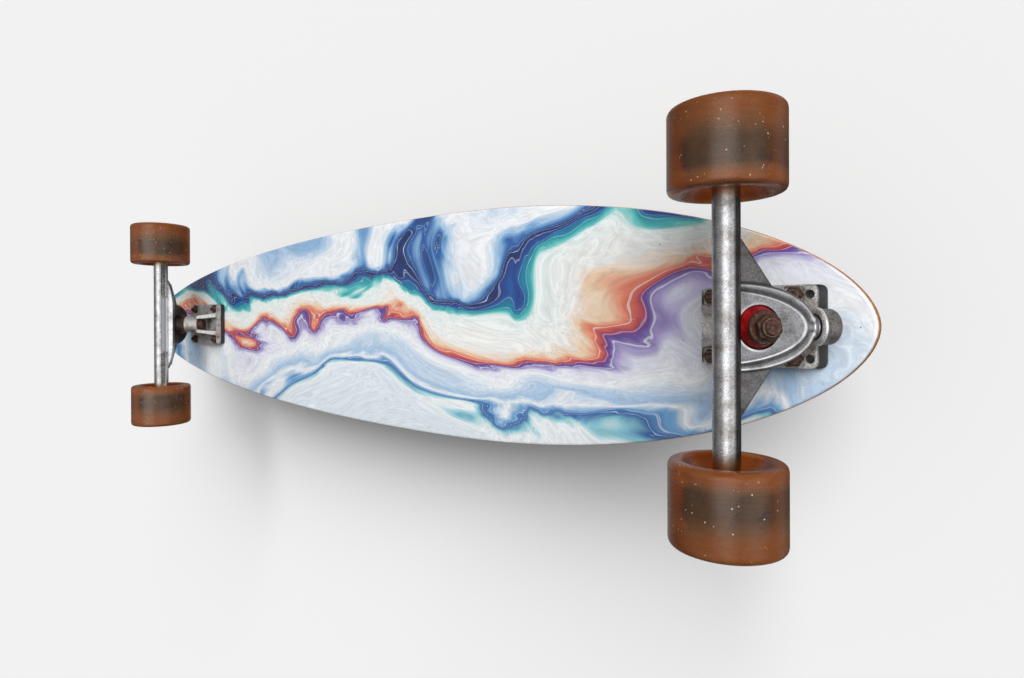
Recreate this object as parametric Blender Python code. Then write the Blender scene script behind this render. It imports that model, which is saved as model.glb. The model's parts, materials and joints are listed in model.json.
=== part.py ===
"""Longboard skateboard: a pintail deck on two reverse-kingpin trucks with four urethane wheels.

Metres, +Z up, +X towards the nose. The origin is on the ground under the middle of the deck.
The board stands on its wheels. Each truck is built once, in its own frame, and placed twice.

Truck frame: origin on the underside of the deck over the middle of the baseplate, +X outboard
(towards the nearest end of the deck), +Z up. Everything of the truck lies below, at -Z.
Steering frame: origin in the middle of the hanger's ring, +X along the steering axis towards the
pivot, +Z along the kingpin towards the deck. The hanger turns about this frame's X axis.
"""
import math

import bmesh
import bpy
from mathutils import Matrix, Vector

# Clearances
SEAT_GAP = 0.0003            # between pieces that touch
ROUGH_HOLE_GAP = 0.0005      # round a bolt in a drilled hole
THROUGH = 0.0100             # how far a cutter runs past the metal

# Deck
NOSE_OVERHANG = 0.069        # nose tip to the middle of the front baseplate
TRUCK_SPACING = 0.750        # between the middles of the two baseplates
TAIL_OVERHANG = 0.171
DECK_WIDTH = 0.216
DECK_THICKNESS = 0.011
WIDEST_FROM_NOSE = 0.370
NOSE_POWERS = (2.2, 1.85)    # how full the outline is, along the board and across it
TAIL_POWERS = (2.0, 1.82)
CONCAVE_RISE = 0.004         # rails above the flat middle
FLAT_HALF_WIDTH = 0.046
RAIL_ROUNDING = 0.0025
GRIP_THICKNESS = 0.0008
GRIP_MARGIN = 0.0030         # bare wood between the grip's edge and the rail
GRIP_FILED_EDGE = 0.0003

# Mounting bolts, four in each truck of the six holes in its baseplate
INNER_ROW_X = -0.03175
BOLT_ROWS_APART = 0.0540
SPARE_ROW_STEP = 0.0095
BOLTS_ACROSS = 0.0413
BOLT_RADIUS = 0.0024
BOLT_HEAD_RADIUS = 0.0046
BOLT_HEAD_HEIGHT = 0.0026
BOLT_PAST_NUT = 0.0029
MOUNT_NUT_FLATS = 0.0095
MOUNT_NUT_HEIGHT = 0.0048

# Baseplate
PLATE_THICKNESS = 0.0060
PLATE_PAST_INNER_ROW = 0.00655
PLATE_PAST_SPARE_ROW = 0.00445
PLATE_SIDE_MARGIN = 0.00635       # from the bolts to the plate's long edges
PLATE_CORNER = 0.0040
POCKET_DEPTH = 0.0025             # of the sunk seats under the mounting nuts
POCKET_ROOM = 0.0008              # round the nuts
POCKET_CORNER = 0.0012
BOSS_RADIUS = 0.0112
KINGPIN_GRIP = 0.0167             # metal between the boss's face and the kingpin's head
RIB_WALL = 0.00395                # beside the slot for the kingpin's head
RIB_END_HEIGHT = 0.0020           # the ribs' height over the plate at its inboard end
RIB_PEAK_BEHIND_FACE = 0.0160     # along the kingpin, from the boss's face to the ribs' highest point
SLOT_FLOOR = 0.0010               # metal left over the plate under the kingpin's head
SLOT_PAST_HEAD = 0.0006
WEB_HALF_WIDTH = 0.0080
WEB_OVERLAP = 0.0010              # how deep the web runs into the boss and the pivot housing
PIVOT_WALL = 0.0033
PIVOT_END_WALL = 0.0051
PIVOT_DOME = 0.0032               # of the housing's length, rounded at its closed end
PIVOT_MOUTH_GAP = 0.0020          # between the hanger's body and the housing

# Riser pad
RISER_THICKNESS = 0.0029
RISER_PAST_INNER_END = 0.0022
RISER_PAST_OUTER_END = 0.0043
RISER_CORNER = 0.0050

# Steering geometry
STEER_ANGLE = math.radians(45)    # steering axis above the deck's plane
KINGPIN_HEAD_X = -0.0144          # middle of the kingpin head's seat in the truck frame
KINGPIN_HEAD_ROOM = 0.0014        # between the head's highest corner and the floor of its slot
AXLE_BEHIND_RING = 0.0222         # along the steering axis
AXLE_RAKE = 0.0078                # off the steering axis, towards the ground

# Kingpin, washers and bushings
KINGPIN_RADIUS = 0.00476
KINGPIN_HEAD_FLATS = 0.0143
KINGPIN_HEAD_HEIGHT = 0.0060
KINGPIN_NUT_FLATS = 0.0143
KINGPIN_NUT_HEIGHT = 0.0068
KINGPIN_THREAD_SHOWING = 0.0018
WASHER_THICKNESS = 0.0015
BOARDSIDE_WASHER_RADIUS = 0.0125
ROADSIDE_WASHER_RADIUS = 0.0106
BUSHING_RADIUS = 0.0132
BARREL_TOP_RADIUS = 0.0122
BARREL_HEIGHT = 0.0114
CONE_TOP_RADIUS = 0.0096
CONE_HEIGHT = 0.0098
CONE_SHOULDER = 0.0030            # the cone's straight part at the ring

# Pivot cup
PIVOT_CUP_RADIUS = 0.0080
PIVOT_CUP_DEPTH = 0.0078
PIVOT_CUP_WALL = 0.0025
PIVOT_CUP_FLOOR = 0.0015
PIVOT_CUP_FLARE = 0.0008

# Hanger
HANGER_WIDTH = 0.1830             # shoulder to shoulder, where the wheels start
TUBE_RADIUS = 0.00825
BODY_HALF_WIDTH = 0.0276
BODY_TIP_X = 0.0372
BODY_POWER = 3                    # how long the body's sides stay wide before they close to the tip
BODY_ROAD = 0.0060
BODY_DECK = 0.0055
RING_WEB = 0.0030
RING_SEAT_ROOM = 0.0005           # round the bushings
RING_HOLE_ROOM = 0.0032           # round the kingpin, so that the hanger can tilt
RING_WALL = 0.0043
WING_REACH = 0.0540
WING_FOOT_Y = 0.0250
WING_FOOT_X = 0.0100
WING_TIP_X = -0.0100
WING_ROAD = 0.0032
WING_DECK = 0.0006
FLANGE_HALF_LENGTH = 0.0340
FLANGE_END = 0.0620
FLANGE_THICKNESS = 0.0070
FLANGE_HEIGHT = 0.0066
NOSE_ROOT_RADIUS = 0.0070
NOSE_TAPER_LENGTH = 0.0040

# Axle and its nuts
AXLE_RADIUS = 0.0040
AXLE_NUT_FLATS = 0.0130
AXLE_NUT_HEIGHT = 0.0080
SPEED_WASHER_SPACE = 0.0009
AXLE_PAST_NUT = 0.0015

# Wheels and bearings
WHEEL_RADIUS = 0.0345
WHEEL_WIDTH = 0.0510
WHEEL_LIP_ROUNDING = 0.0045
WHEEL_LIP_WIDTH = 0.0083          # from the rim to the mouth of the recess
CORE_RADIUS = 0.0195
CORE_WIDTH = 0.0280
CORE_BORE_RADIUS = 0.0090
BEARING_RADIUS = 0.0110
BEARING_WIDTH = 0.0070
BEARINGS_APART = 0.0104

# How finely round pieces are divided
WHEEL_SIDES = 36                  # a multiple of four, so that the wheels stand on flats
CORE_SIDES = 20
FASTENER_SIDES = 12
TURNED_SIDES = 20
QUARTER_STEPS = 4                 # in a quarter of a small round
LIP_STEPS = 3                     # in the rounding of a wheel's rim
RAIL_STEPS = 2                    # in the rounding of the deck's edge
BODY_STEPS = 14                   # along one side of the hanger's body
NOSE_STATIONS = 16
TAIL_STATIONS = 20
COLUMN_SHARES = (0.0, 0.43, 0.74, 1.0)
SHARP_ANGLE = math.radians(35)
SAME_POINT = 1e-6                 # points nearer than this are one point

# Places along the board
DECK_LENGTH = NOSE_OVERHANG + TRUCK_SPACING + TAIL_OVERHANG
NOSE_X = DECK_LENGTH / 2
FRONT_PLATE_X = NOSE_X - NOSE_OVERHANG
REAR_PLATE_X = FRONT_PLATE_X - TRUCK_SPACING
WIDEST_X = NOSE_X - WIDEST_FROM_NOSE

# Places in the truck frame
OUTER_ROW_X = INNER_ROW_X + BOLT_ROWS_APART
SPARE_ROW_X = OUTER_ROW_X + SPARE_ROW_STEP
PLATE_INNER_END = INNER_ROW_X - PLATE_PAST_INNER_ROW
PLATE_OUTER_END = SPARE_ROW_X + PLATE_PAST_SPARE_ROW
PLATE_HALF_WIDTH = BOLTS_ACROSS / 2 + PLATE_SIDE_MARGIN
RISER_TOP = -SEAT_GAP
RISER_BOTTOM = RISER_TOP - RISER_THICKNESS
PLATE_TOP = RISER_BOTTOM - SEAT_GAP
PLATE_BOTTOM = PLATE_TOP - PLATE_THICKNESS
PLATE_INSIDE = (PLATE_TOP + PLATE_BOTTOM) / 2
NUT_SEAT_Z = PLATE_BOTTOM + POCKET_DEPTH
BOLT_LENGTH = DECK_THICKNESS - NUT_SEAT_Z + SEAT_GAP + MOUNT_NUT_HEIGHT + BOLT_PAST_NUT
BOLT_HOLE_RADIUS = BOLT_RADIUS + ROUGH_HOLE_GAP

# Places along the kingpin, from the middle of the ring
BARREL_LOW = RING_WEB / 2 + SEAT_GAP
BOARDSIDE_WASHER_LOW = BARREL_LOW + BARREL_HEIGHT + SEAT_GAP
BOSS_FACE = BOARDSIDE_WASHER_LOW + WASHER_THICKNESS + SEAT_GAP
KINGPIN_SEAT = BOSS_FACE + KINGPIN_GRIP
CONE_HIGH = -RING_WEB / 2 - SEAT_GAP
ROADSIDE_WASHER_HIGH = CONE_HIGH - CONE_HEIGHT - SEAT_GAP
KINGPIN_NUT_HIGH = ROADSIDE_WASHER_HIGH - WASHER_THICKNESS - SEAT_GAP
KINGPIN_END = KINGPIN_NUT_HIGH - KINGPIN_NUT_HEIGHT - KINGPIN_THREAD_SHOWING
KINGPIN_HOLE_RADIUS = KINGPIN_RADIUS + SEAT_GAP
KINGPIN_HEAD_CORNER = KINGPIN_HEAD_FLATS / math.sqrt(3)
KINGPIN_HEAD_END = KINGPIN_SEAT + SEAT_GAP + KINGPIN_HEAD_HEIGHT
SLOT_FLOOR_Z = PLATE_BOTTOM - SLOT_FLOOR
SLOT_HALF_WIDTH = KINGPIN_HEAD_FLATS / 2 + SEAT_GAP
RIB_HALF_WIDTH = SLOT_HALF_WIDTH + RIB_WALL

# The middle of the hanger's ring in the truck frame, where the kingpin's length puts it
RING_X = KINGPIN_HEAD_X + KINGPIN_SEAT * math.sin(STEER_ANGLE)
RING_DROP = (KINGPIN_HEAD_END * math.cos(STEER_ANGLE) + KINGPIN_HEAD_CORNER * math.sin(STEER_ANGLE)
             + KINGPIN_HEAD_ROOM - SLOT_FLOOR_Z)
AXLE_DROP = RING_DROP + AXLE_BEHIND_RING * math.sin(STEER_ANGLE) + AXLE_RAKE * math.cos(STEER_ANGLE)
DECK_FACE_Z = WHEEL_RADIUS + AXLE_DROP

# Places along the steering axis, from the middle of the ring
PIVOT_MOUTH = BODY_TIP_X + PIVOT_MOUTH_GAP
PIVOT_HOUSING_RADIUS = PIVOT_CUP_RADIUS + SEAT_GAP + PIVOT_WALL
PIVOT_HOUSING_END = PIVOT_MOUTH + PIVOT_CUP_DEPTH + SEAT_GAP + PIVOT_END_WALL
PIVOT_TIP_RADIUS = PIVOT_CUP_RADIUS - PIVOT_CUP_WALL - SEAT_GAP
PIVOT_TIP_CENTRE = PIVOT_MOUTH + PIVOT_CUP_DEPTH - PIVOT_CUP_FLOOR - SEAT_GAP - PIVOT_TIP_RADIUS
RING_SEAT_RADIUS = BUSHING_RADIUS + RING_SEAT_ROOM
RING_HOLE_RADIUS = KINGPIN_RADIUS + RING_HOLE_ROOM

# Places along the axle, from the middle of the truck
AXLE_HOLE_RADIUS = AXLE_RADIUS + SEAT_GAP
WHEEL_CENTRE_Y = HANGER_WIDTH / 2 + SPEED_WASHER_SPACE + BEARING_WIDTH + BEARINGS_APART / 2
AXLE_NUT_Y = WHEEL_CENTRE_Y + BEARINGS_APART / 2 + BEARING_WIDTH + SPEED_WASHER_SPACE
AXLE_HALF_LENGTH = AXLE_NUT_Y + AXLE_NUT_HEIGHT + AXLE_PAST_NUT

HERE = Matrix.Identity(4)
STEERING_FRAME = (Matrix.Translation((RING_X, 0, -RING_DROP))
                  @ Matrix.Rotation(-STEER_ANGLE, 4, "Y"))
AXLE_MIDDLE = Matrix.Translation((-AXLE_BEHIND_RING, 0, -AXLE_RAKE))    # in the steering frame
ACROSS = Matrix.Rotation(math.radians(-90), 4, "X")        # lays a turned piece along +Y
ALONG_STEERING = Matrix.Rotation(math.radians(90), 4, "Y")   # lays a turned piece along +X
JOIN, CUT = "UNION", "DIFFERENCE"


# Shapes

def mesh_from(bm, name):
    """The finished mesh of a bmesh, with its faces pointing out and its sharp edges marked."""
    bmesh.ops.recalc_face_normals(bm, faces=bm.faces)
    mesh = bpy.data.meshes.new(name)
    bm.to_mesh(mesh)
    bm.free()
    mesh.shade_smooth()
    mesh.set_sharp_from_angle(angle=SHARP_ANGLE)
    return mesh


def turned(name, profile, sides):
    """A solid turned about Z from a closed profile of (radius, height) points."""
    bm = bmesh.new()
    verts = [bm.verts.new((radius, 0, height)) for radius, height in profile]
    edges = [bm.edges.new((verts[i - 1], verts[i])) for i in range(len(verts))]
    bmesh.ops.spin(bm, geom=verts + edges, cent=(0, 0, 0), axis=(0, 0, 1),
                   angle=math.tau, steps=sides, use_merge=True)
    bmesh.ops.remove_doubles(bm, verts=bm.verts, dist=SAME_POINT)
    loose = [edge for edge in bm.edges if not edge.link_faces]
    bmesh.ops.delete(bm, geom=loose, context="EDGES")
    return mesh_from(bm, name)


def cylinder(name, radius, low, high, sides=TURNED_SIDES):
    """A plain round bar about Z."""
    return turned(name, [(0, low), (radius, low), (radius, high), (0, high)], sides)


def ring(name, bore, radius, low, high, sides=TURNED_SIDES):
    """A flat ring about Z."""
    return turned(name, [(bore, low), (radius, low), (radius, high), (bore, high)], sides)


def raise_faces(bm, faces, height):
    """Extrudes a sheet of faces straight up into a slab."""
    grown = bmesh.ops.extrude_face_region(bm, geom=faces)["geom"]
    raised = [item for item in grown if isinstance(item, bmesh.types.BMVert)]
    bmesh.ops.translate(bm, verts=raised, vec=(0, 0, height))


def prism(name, outline, low, high):
    """A flat outline of (x, y) points made into a slab from low to high."""
    bm = bmesh.new()
    face = bm.faces.new([bm.verts.new((x, y, low)) for x, y in outline])
    raise_faces(bm, [face], high - low)
    return mesh_from(bm, name)


def side_prism(name, outline, half_width):
    """An outline of (x, z) points made into a slab that is centred across the board."""
    mesh = prism(name, outline, -half_width, half_width)
    mesh.transform(Matrix.Rotation(math.radians(90), 4, "X"))
    return mesh


def hexagon(name, flats, low, high, bore=0.0):
    """A nut or a bolt's head: six flats about Z, two of them facing Y, with a round bore if given."""
    bm = bmesh.new()
    base = Matrix.Translation((0, 0, low))
    rim = bmesh.ops.create_circle(bm, segments=6, radius=flats / math.sqrt(3), cap_ends=not bore,
                                  matrix=base @ Matrix.Rotation(math.radians(30), 4, "Z"))
    if bore:
        hole = bmesh.ops.create_circle(bm, segments=FASTENER_SIDES, radius=bore, cap_ends=False,
                                       matrix=base)
        loops = {edge for vert in rim["verts"] + hole["verts"] for edge in vert.link_edges}
        bmesh.ops.bridge_loops(bm, edges=list(loops))
    raise_faces(bm, list(bm.faces), high - low)
    return mesh_from(bm, name)


def arc(x, y, radius, start, end, steps):
    """Points on an arc, in degrees, with both ends."""
    turns = [math.radians(start + (end - start) * step / steps) for step in range(steps + 1)]
    return [(x + radius * math.cos(turn), y + radius * math.sin(turn)) for turn in turns]


def rounded_rectangle(x_low, x_high, half_width, corner, steps=QUARTER_STEPS):
    """The outline of a plate with round corners."""
    low, high, in_y = x_low + corner, x_high - corner, half_width - corner
    return (arc(high, in_y, corner, 0, 90, steps) + arc(low, in_y, corner, 90, 180, steps)
            + arc(low, -in_y, corner, 180, 270, steps) + arc(high, -in_y, corner, 270, 360, steps))


def shaped(name, base, steps):
    """The base mesh after its joins and cuts, each (operation, mesh, placement), as one mesh."""
    body = bpy.data.objects.new(name, base)
    bpy.context.collection.objects.link(body)
    tools = []
    for operation, mesh, placement in steps:
        tool = bpy.data.objects.new(mesh.name, mesh)
        bpy.context.collection.objects.link(tool)
        tool.matrix_world = placement
        tool.hide_render = True
        tool.display_type = "WIRE"
        tools.append(tool)
        modifier = body.modifiers.new(mesh.name, "BOOLEAN")
        modifier.operation = operation
        modifier.solver = "EXACT"
        modifier.object = tool
    bpy.context.view_layer.update()
    evaluated = body.evaluated_get(bpy.context.evaluated_depsgraph_get())
    result = bpy.data.meshes.new_from_object(evaluated)
    result.name = name
    for item in [body] + tools:
        bpy.data.objects.remove(item, do_unlink=True)
    bm = bmesh.new()
    bm.from_mesh(result)
    bmesh.ops.remove_doubles(bm, verts=bm.verts, dist=SAME_POINT)
    bm.to_mesh(result)
    bm.free()
    result.shade_smooth()
    result.set_sharp_from_angle(angle=SHARP_ANGLE)
    return result


def at(x, y, z):
    """A placement without any turn."""
    return Matrix.Translation((x, y, z))


# Materials

def material(name, colour, roughness, metallic=0.0):
    """A plain finish; colour is linear red, green and blue."""
    finish = bpy.data.materials.new(name)
    finish.use_nodes = True
    shader = finish.node_tree.nodes["Principled BSDF"]
    shader.inputs["Base Color"].default_value = (*colour, 1.0)
    shader.inputs["Roughness"].default_value = roughness
    shader.inputs["Metallic"].default_value = metallic
    finish.diffuse_color = (*colour, 1.0)
    return finish


MAPLE = material("printed maple", (0.42, 0.56, 0.74), 0.30)
GRIT = material("black grit", (0.02, 0.02, 0.02), 0.95)
BLACK_PLASTIC = material("black polyethylene", (0.02, 0.02, 0.022), 0.50)
CAST_ALUMINIUM = material("cast aluminium", (0.55, 0.53, 0.51), 0.35, 1.0)
TUMBLED_ALUMINIUM = material("tumbled aluminium", (0.62, 0.61, 0.60), 0.30, 1.0)
AXLE_STEEL = material("axle steel", (0.45, 0.44, 0.43), 0.30, 1.0)
RUSTY_STEEL = material("rusty steel", (0.16, 0.07, 0.04), 0.65, 0.6)
RED_URETHANE = material("red urethane", (0.55, 0.01, 0.01), 0.30)
BLACK_URETHANE = material("black urethane", (0.015, 0.015, 0.015), 0.45)
AMBER_URETHANE = material("amber urethane", (0.28, 0.09, 0.02), 0.30)
GREY_NYLON = material("grey nylon", (0.06, 0.06, 0.06), 0.50)
BEARING_STEEL = material("bearing steel", (0.50, 0.50, 0.50), 0.25, 1.0)


# Placing

def clear_scene():
    """Starts from an empty scene."""
    for item in list(bpy.data.objects):
        bpy.data.objects.remove(item, do_unlink=True)


def empty(name, parent, placement):
    """A frame that pieces are placed from."""
    frame = bpy.data.objects.new(name, None)
    bpy.context.collection.objects.link(frame)
    frame.parent = parent
    frame.matrix_basis = placement
    frame.empty_display_size = BODY_HALF_WIDTH
    return frame


def piece(name, mesh, finish, parent, placement=HERE):
    """One separate solid of the board, placed in its parent's frame."""
    item = bpy.data.objects.new(name, mesh)
    bpy.context.collection.objects.link(item)
    item.parent = parent
    item.matrix_basis = placement
    if not mesh.materials:
        mesh.materials.append(finish)
    return item


# Deck and grip tape

def stations(inset):
    """Places along the board, nose to tail, each (x, half width), for an outline set in by inset."""
    ends = []
    for count, tip, powers in ((NOSE_STATIONS, NOSE_X, NOSE_POWERS),
                               (TAIL_STATIONS, -NOSE_X, TAIL_POWERS)):
        length = tip - math.copysign(inset, tip) - WIDEST_X
        turns = [math.radians(90 * step / count) for step in range(count)]
        ends.append([(WIDEST_X + length * math.cos(turn) ** (2 / powers[0]),
                      (DECK_WIDTH / 2 - inset) * math.sin(turn) ** (2 / powers[1])) for turn in turns])
    return ends[0] + [(WIDEST_X, DECK_WIDTH / 2 - inset)] + ends[1][::-1]


def rail_lift(y):
    """How far the concave raises the board at y."""
    past = max(0.0, abs(y) - FLAT_HALF_WIDTH) / (DECK_WIDTH / 2 - FLAT_HALF_WIDTH)
    return CONCAVE_RISE * past ** 2


def add_sheet(bm, inset, height):
    """A sheet of faces over the whole outline, which follows the concave."""
    shares = [-share for share in COLUMN_SHARES[:0:-1]] + list(COLUMN_SHARES)
    rows = [[bm.verts.new((x, half * share, height + rail_lift(half * share))) for share in shares]
            for x, half in stations(inset)]
    for near, far in zip(rows, rows[1:]):
        for column in range(len(shares) - 1):
            bm.faces.new((near[column], near[column + 1], far[column + 1], far[column]))


def add_loop(bm, inset, height):
    """The corners once round the outline, in order."""
    rows = stations(inset)
    left = [bm.verts.new((x, half, height + rail_lift(half))) for x, half in rows]
    right = [bm.verts.new((x, -half, height + rail_lift(half))) for x, half in rows[-2:0:-1]]
    return left + right


def plank(name, inset, low, high, rounding, steps):
    """A board of even thickness that follows the outline and the concave, with rounded edges."""
    corner = [(inset + rounding - x, rounding + y) for x, y in arc(0, 0, rounding, -90, 0, steps)]
    section = ([(side, low + up) for side, up in corner]
               + [(side, high - up) for side, up in reversed(corner)])
    bm = bmesh.new()
    loops = [add_loop(bm, side, height) for side, height in section]
    for lower, upper in zip(loops, loops[1:]):
        for i in range(len(lower)):
            bm.faces.new((lower[i - 1], lower[i], upper[i], upper[i - 1]))
    add_sheet(bm, *section[0])
    add_sheet(bm, *section[-1])
    bmesh.ops.remove_doubles(bm, verts=bm.verts, dist=SAME_POINT)
    return mesh_from(bm, name)


def bolt_places():
    """The four bolts of a truck as (row, side, x, y) in the truck frame."""
    return [(row, side, x, side * BOLTS_ACROSS / 2)
            for row, x in (("inner", INNER_ROW_X), ("outer", OUTER_ROW_X)) for side in (1, -1)]


def countersunk(name, gap=0.0, beyond=0.0):
    """A mounting bolt with its head's top at height 0, or the cutter for its hole, a gap wider."""
    shank, head, low = BOLT_RADIUS + gap, BOLT_HEAD_RADIUS + gap, -BOLT_LENGTH - beyond
    mouth = [(head, beyond)] if beyond else []
    profile = [(0, low), (shank, low), (shank, -BOLT_HEAD_HEIGHT - gap), (head, 0)]
    return turned(name, profile + mouth + [(0, beyond)], FASTENER_SIDES)


def make_deck(trucks):
    """The board and the grip tape, with the mounting bolts' holes."""
    hole = countersunk("bolt hole", SEAT_GAP, THROUGH)
    cuts = [(CUT, hole, truck @ at(x, y, DECK_THICKNESS))
            for truck in trucks for _, _, x, y in bolt_places()]
    board = plank("deck", 0.0, DECK_FACE_Z, DECK_FACE_Z + DECK_THICKNESS, RAIL_ROUNDING, RAIL_STEPS)
    piece("deck", shaped("deck", board, cuts), MAPLE, None)
    low = DECK_FACE_Z + DECK_THICKNESS + SEAT_GAP
    grip = plank("grip_tape", GRIP_MARGIN, low, low + GRIP_THICKNESS, GRIP_FILED_EDGE, 1)
    piece("grip_tape", shaped("grip_tape", grip, cuts), GRIT, None)


# Truck parts, made once

def in_truck(x, z):
    """A point of the steering frame's side view as (x, z) in the truck frame."""
    point = STEERING_FRAME @ Vector((x, 0, z))
    return point.x, point.z


def drill_cuts(rows):
    """The bolt holes through riser or baseplate in the given rows."""
    drill = cylinder("drill", BOLT_HOLE_RADIUS, PLATE_BOTTOM - THROUGH, THROUGH, FASTENER_SIDES)
    return [(CUT, drill, at(x, side * BOLTS_ACROSS / 2, 0)) for x in rows for side in (1, -1)]


def riser_mesh():
    """The flat pad between deck and baseplate."""
    low, high = PLATE_INNER_END - RISER_PAST_INNER_END, PLATE_OUTER_END + RISER_PAST_OUTER_END
    outline = rounded_rectangle(low, high, PLATE_HALF_WIDTH, RISER_CORNER)
    slab = prism("riser", outline, RISER_BOTTOM, RISER_TOP)
    return shaped("riser_pad", slab, drill_cuts((INNER_ROW_X, OUTER_ROW_X)))


def rib_mesh():
    """The block that braces the kingpin's boss and runs down to the plate's inboard end."""
    behind_boss = in_truck(0, KINGPIN_SEAT)
    return side_prism("ribs", [
        (PLATE_INNER_END, PLATE_TOP), (PLATE_INNER_END, PLATE_BOTTOM - RIB_END_HEIGHT),
        in_truck(WEB_OVERLAP - BOSS_RADIUS, BOSS_FACE + RIB_PEAK_BEHIND_FACE), behind_boss,
        (behind_boss[0], PLATE_TOP)], RIB_HALF_WIDTH)


def web_mesh():
    """The block between the kingpin's boss and the pivot housing."""
    root_x = in_truck(0, KINGPIN_SEAT)[0]
    peak = in_truck(BOSS_RADIUS - WEB_OVERLAP, BOSS_FACE + WEB_OVERLAP)
    foot = in_truck(PIVOT_MOUTH + 2 * WEB_OVERLAP, PIVOT_CUP_RADIUS + 2 * WEB_OVERLAP)
    return side_prism("web", [(root_x, PLATE_TOP), peak, foot, (foot[0], PLATE_TOP)], WEB_HALF_WIDTH)


def housing_mesh():
    """The round housing of the pivot cup, closed by a low dome."""
    flat = PIVOT_DOME / PIVOT_HOUSING_RADIUS
    dome = [(side, PIVOT_HOUSING_END - PIVOT_DOME + up * flat)
            for side, up in arc(0, 0, PIVOT_HOUSING_RADIUS, 0, 90, QUARTER_STEPS)]
    return turned("housing", [(0, PIVOT_MOUTH), (PIVOT_HOUSING_RADIUS, PIVOT_MOUTH)] + dome, TURNED_SIDES)


def slot_mesh():
    """The cutter for the slot that holds the kingpin's head, open at the inboard end."""
    near = in_truck(KINGPIN_HEAD_CORNER + SLOT_PAST_HEAD, KINGPIN_SEAT)
    far = in_truck(-2 * KINGPIN_HEAD_FLATS, KINGPIN_SEAT)
    open_end = PLATE_INNER_END - THROUGH
    corner = (near[0] - (SLOT_FLOOR_Z - near[1]) * math.tan(STEER_ANGLE), SLOT_FLOOR_Z)
    return side_prism("slot", [near, far, (open_end, far[1]), (open_end, SLOT_FLOOR_Z), corner],
                      SLOT_HALF_WIDTH)


def stem_mesh():
    """What stands on the plate: ribs, boss, web and pivot housing, ending inside its thickness."""
    root = (RING_DROP + PLATE_INSIDE) / math.cos(STEER_ANGLE) - BOSS_RADIUS * math.tan(STEER_ANGLE)
    boss = cylinder("boss", BOSS_RADIUS, BOSS_FACE, root)
    past_plate = rounded_rectangle(PLATE_INNER_END - THROUGH, PLATE_OUTER_END + 2 * THROUGH,
                                   PLATE_HALF_WIDTH + THROUGH, PLATE_CORNER)
    above = prism("above", past_plate, PLATE_INSIDE, RING_DROP)
    return shaped("stem", rib_mesh(), [
        (JOIN, boss, STEERING_FRAME), (JOIN, housing_mesh(), STEERING_FRAME @ ALONG_STEERING),
        (JOIN, web_mesh(), HERE), (CUT, above, HERE)])


def baseplate_mesh():
    """The cast plate with its kingpin boss, ribs, web and pivot housing."""
    outline = rounded_rectangle(PLATE_INNER_END, PLATE_OUTER_END, PLATE_HALF_WIDTH, PLATE_CORNER)
    plate = prism("plate", outline, PLATE_BOTTOM, PLATE_TOP)
    kingpin_bore = cylinder("kingpin bore", KINGPIN_HOLE_RADIUS, BOSS_FACE - THROUGH,
                            KINGPIN_SEAT + KINGPIN_RADIUS)
    cup_bore = cylinder("cup bore", PIVOT_CUP_RADIUS + SEAT_GAP, PIVOT_MOUTH - THROUGH,
                        PIVOT_MOUTH + PIVOT_CUP_DEPTH + SEAT_GAP)
    half_long, half_wide = MOUNT_NUT_FLATS / math.sqrt(3) + POCKET_ROOM, MOUNT_NUT_FLATS / 2 + POCKET_ROOM
    pocket = prism("nut pocket", rounded_rectangle(-half_long, half_long, half_wide, POCKET_CORNER, 1),
                   PLATE_BOTTOM - THROUGH, NUT_SEAT_Z)
    steps = [(JOIN, stem_mesh(), HERE), (CUT, slot_mesh(), HERE), (CUT, kingpin_bore, STEERING_FRAME),
             (CUT, cup_bore, STEERING_FRAME @ ALONG_STEERING)]
    steps += [(CUT, pocket, at(x, y, 0)) for _, _, x, y in bolt_places()]
    return shaped("baseplate", plate, steps + drill_cuts((INNER_ROW_X, OUTER_ROW_X, SPARE_ROW_X)))


def hanger_outline():
    """The shield-shaped body seen along the kingpin: broad at the axle, round at the pivot."""
    shares = [math.sin(math.radians(90 * step / BODY_STEPS)) for step in range(BODY_STEPS)]
    back, length = -AXLE_BEHIND_RING, BODY_TIP_X + AXLE_BEHIND_RING
    half = [(back + length * share, BODY_HALF_WIDTH * math.sqrt(1 - share ** BODY_POWER))
            for share in shares]
    return half + [(BODY_TIP_X, 0.0)] + [(x, -y) for x, y in reversed(half)]


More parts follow.
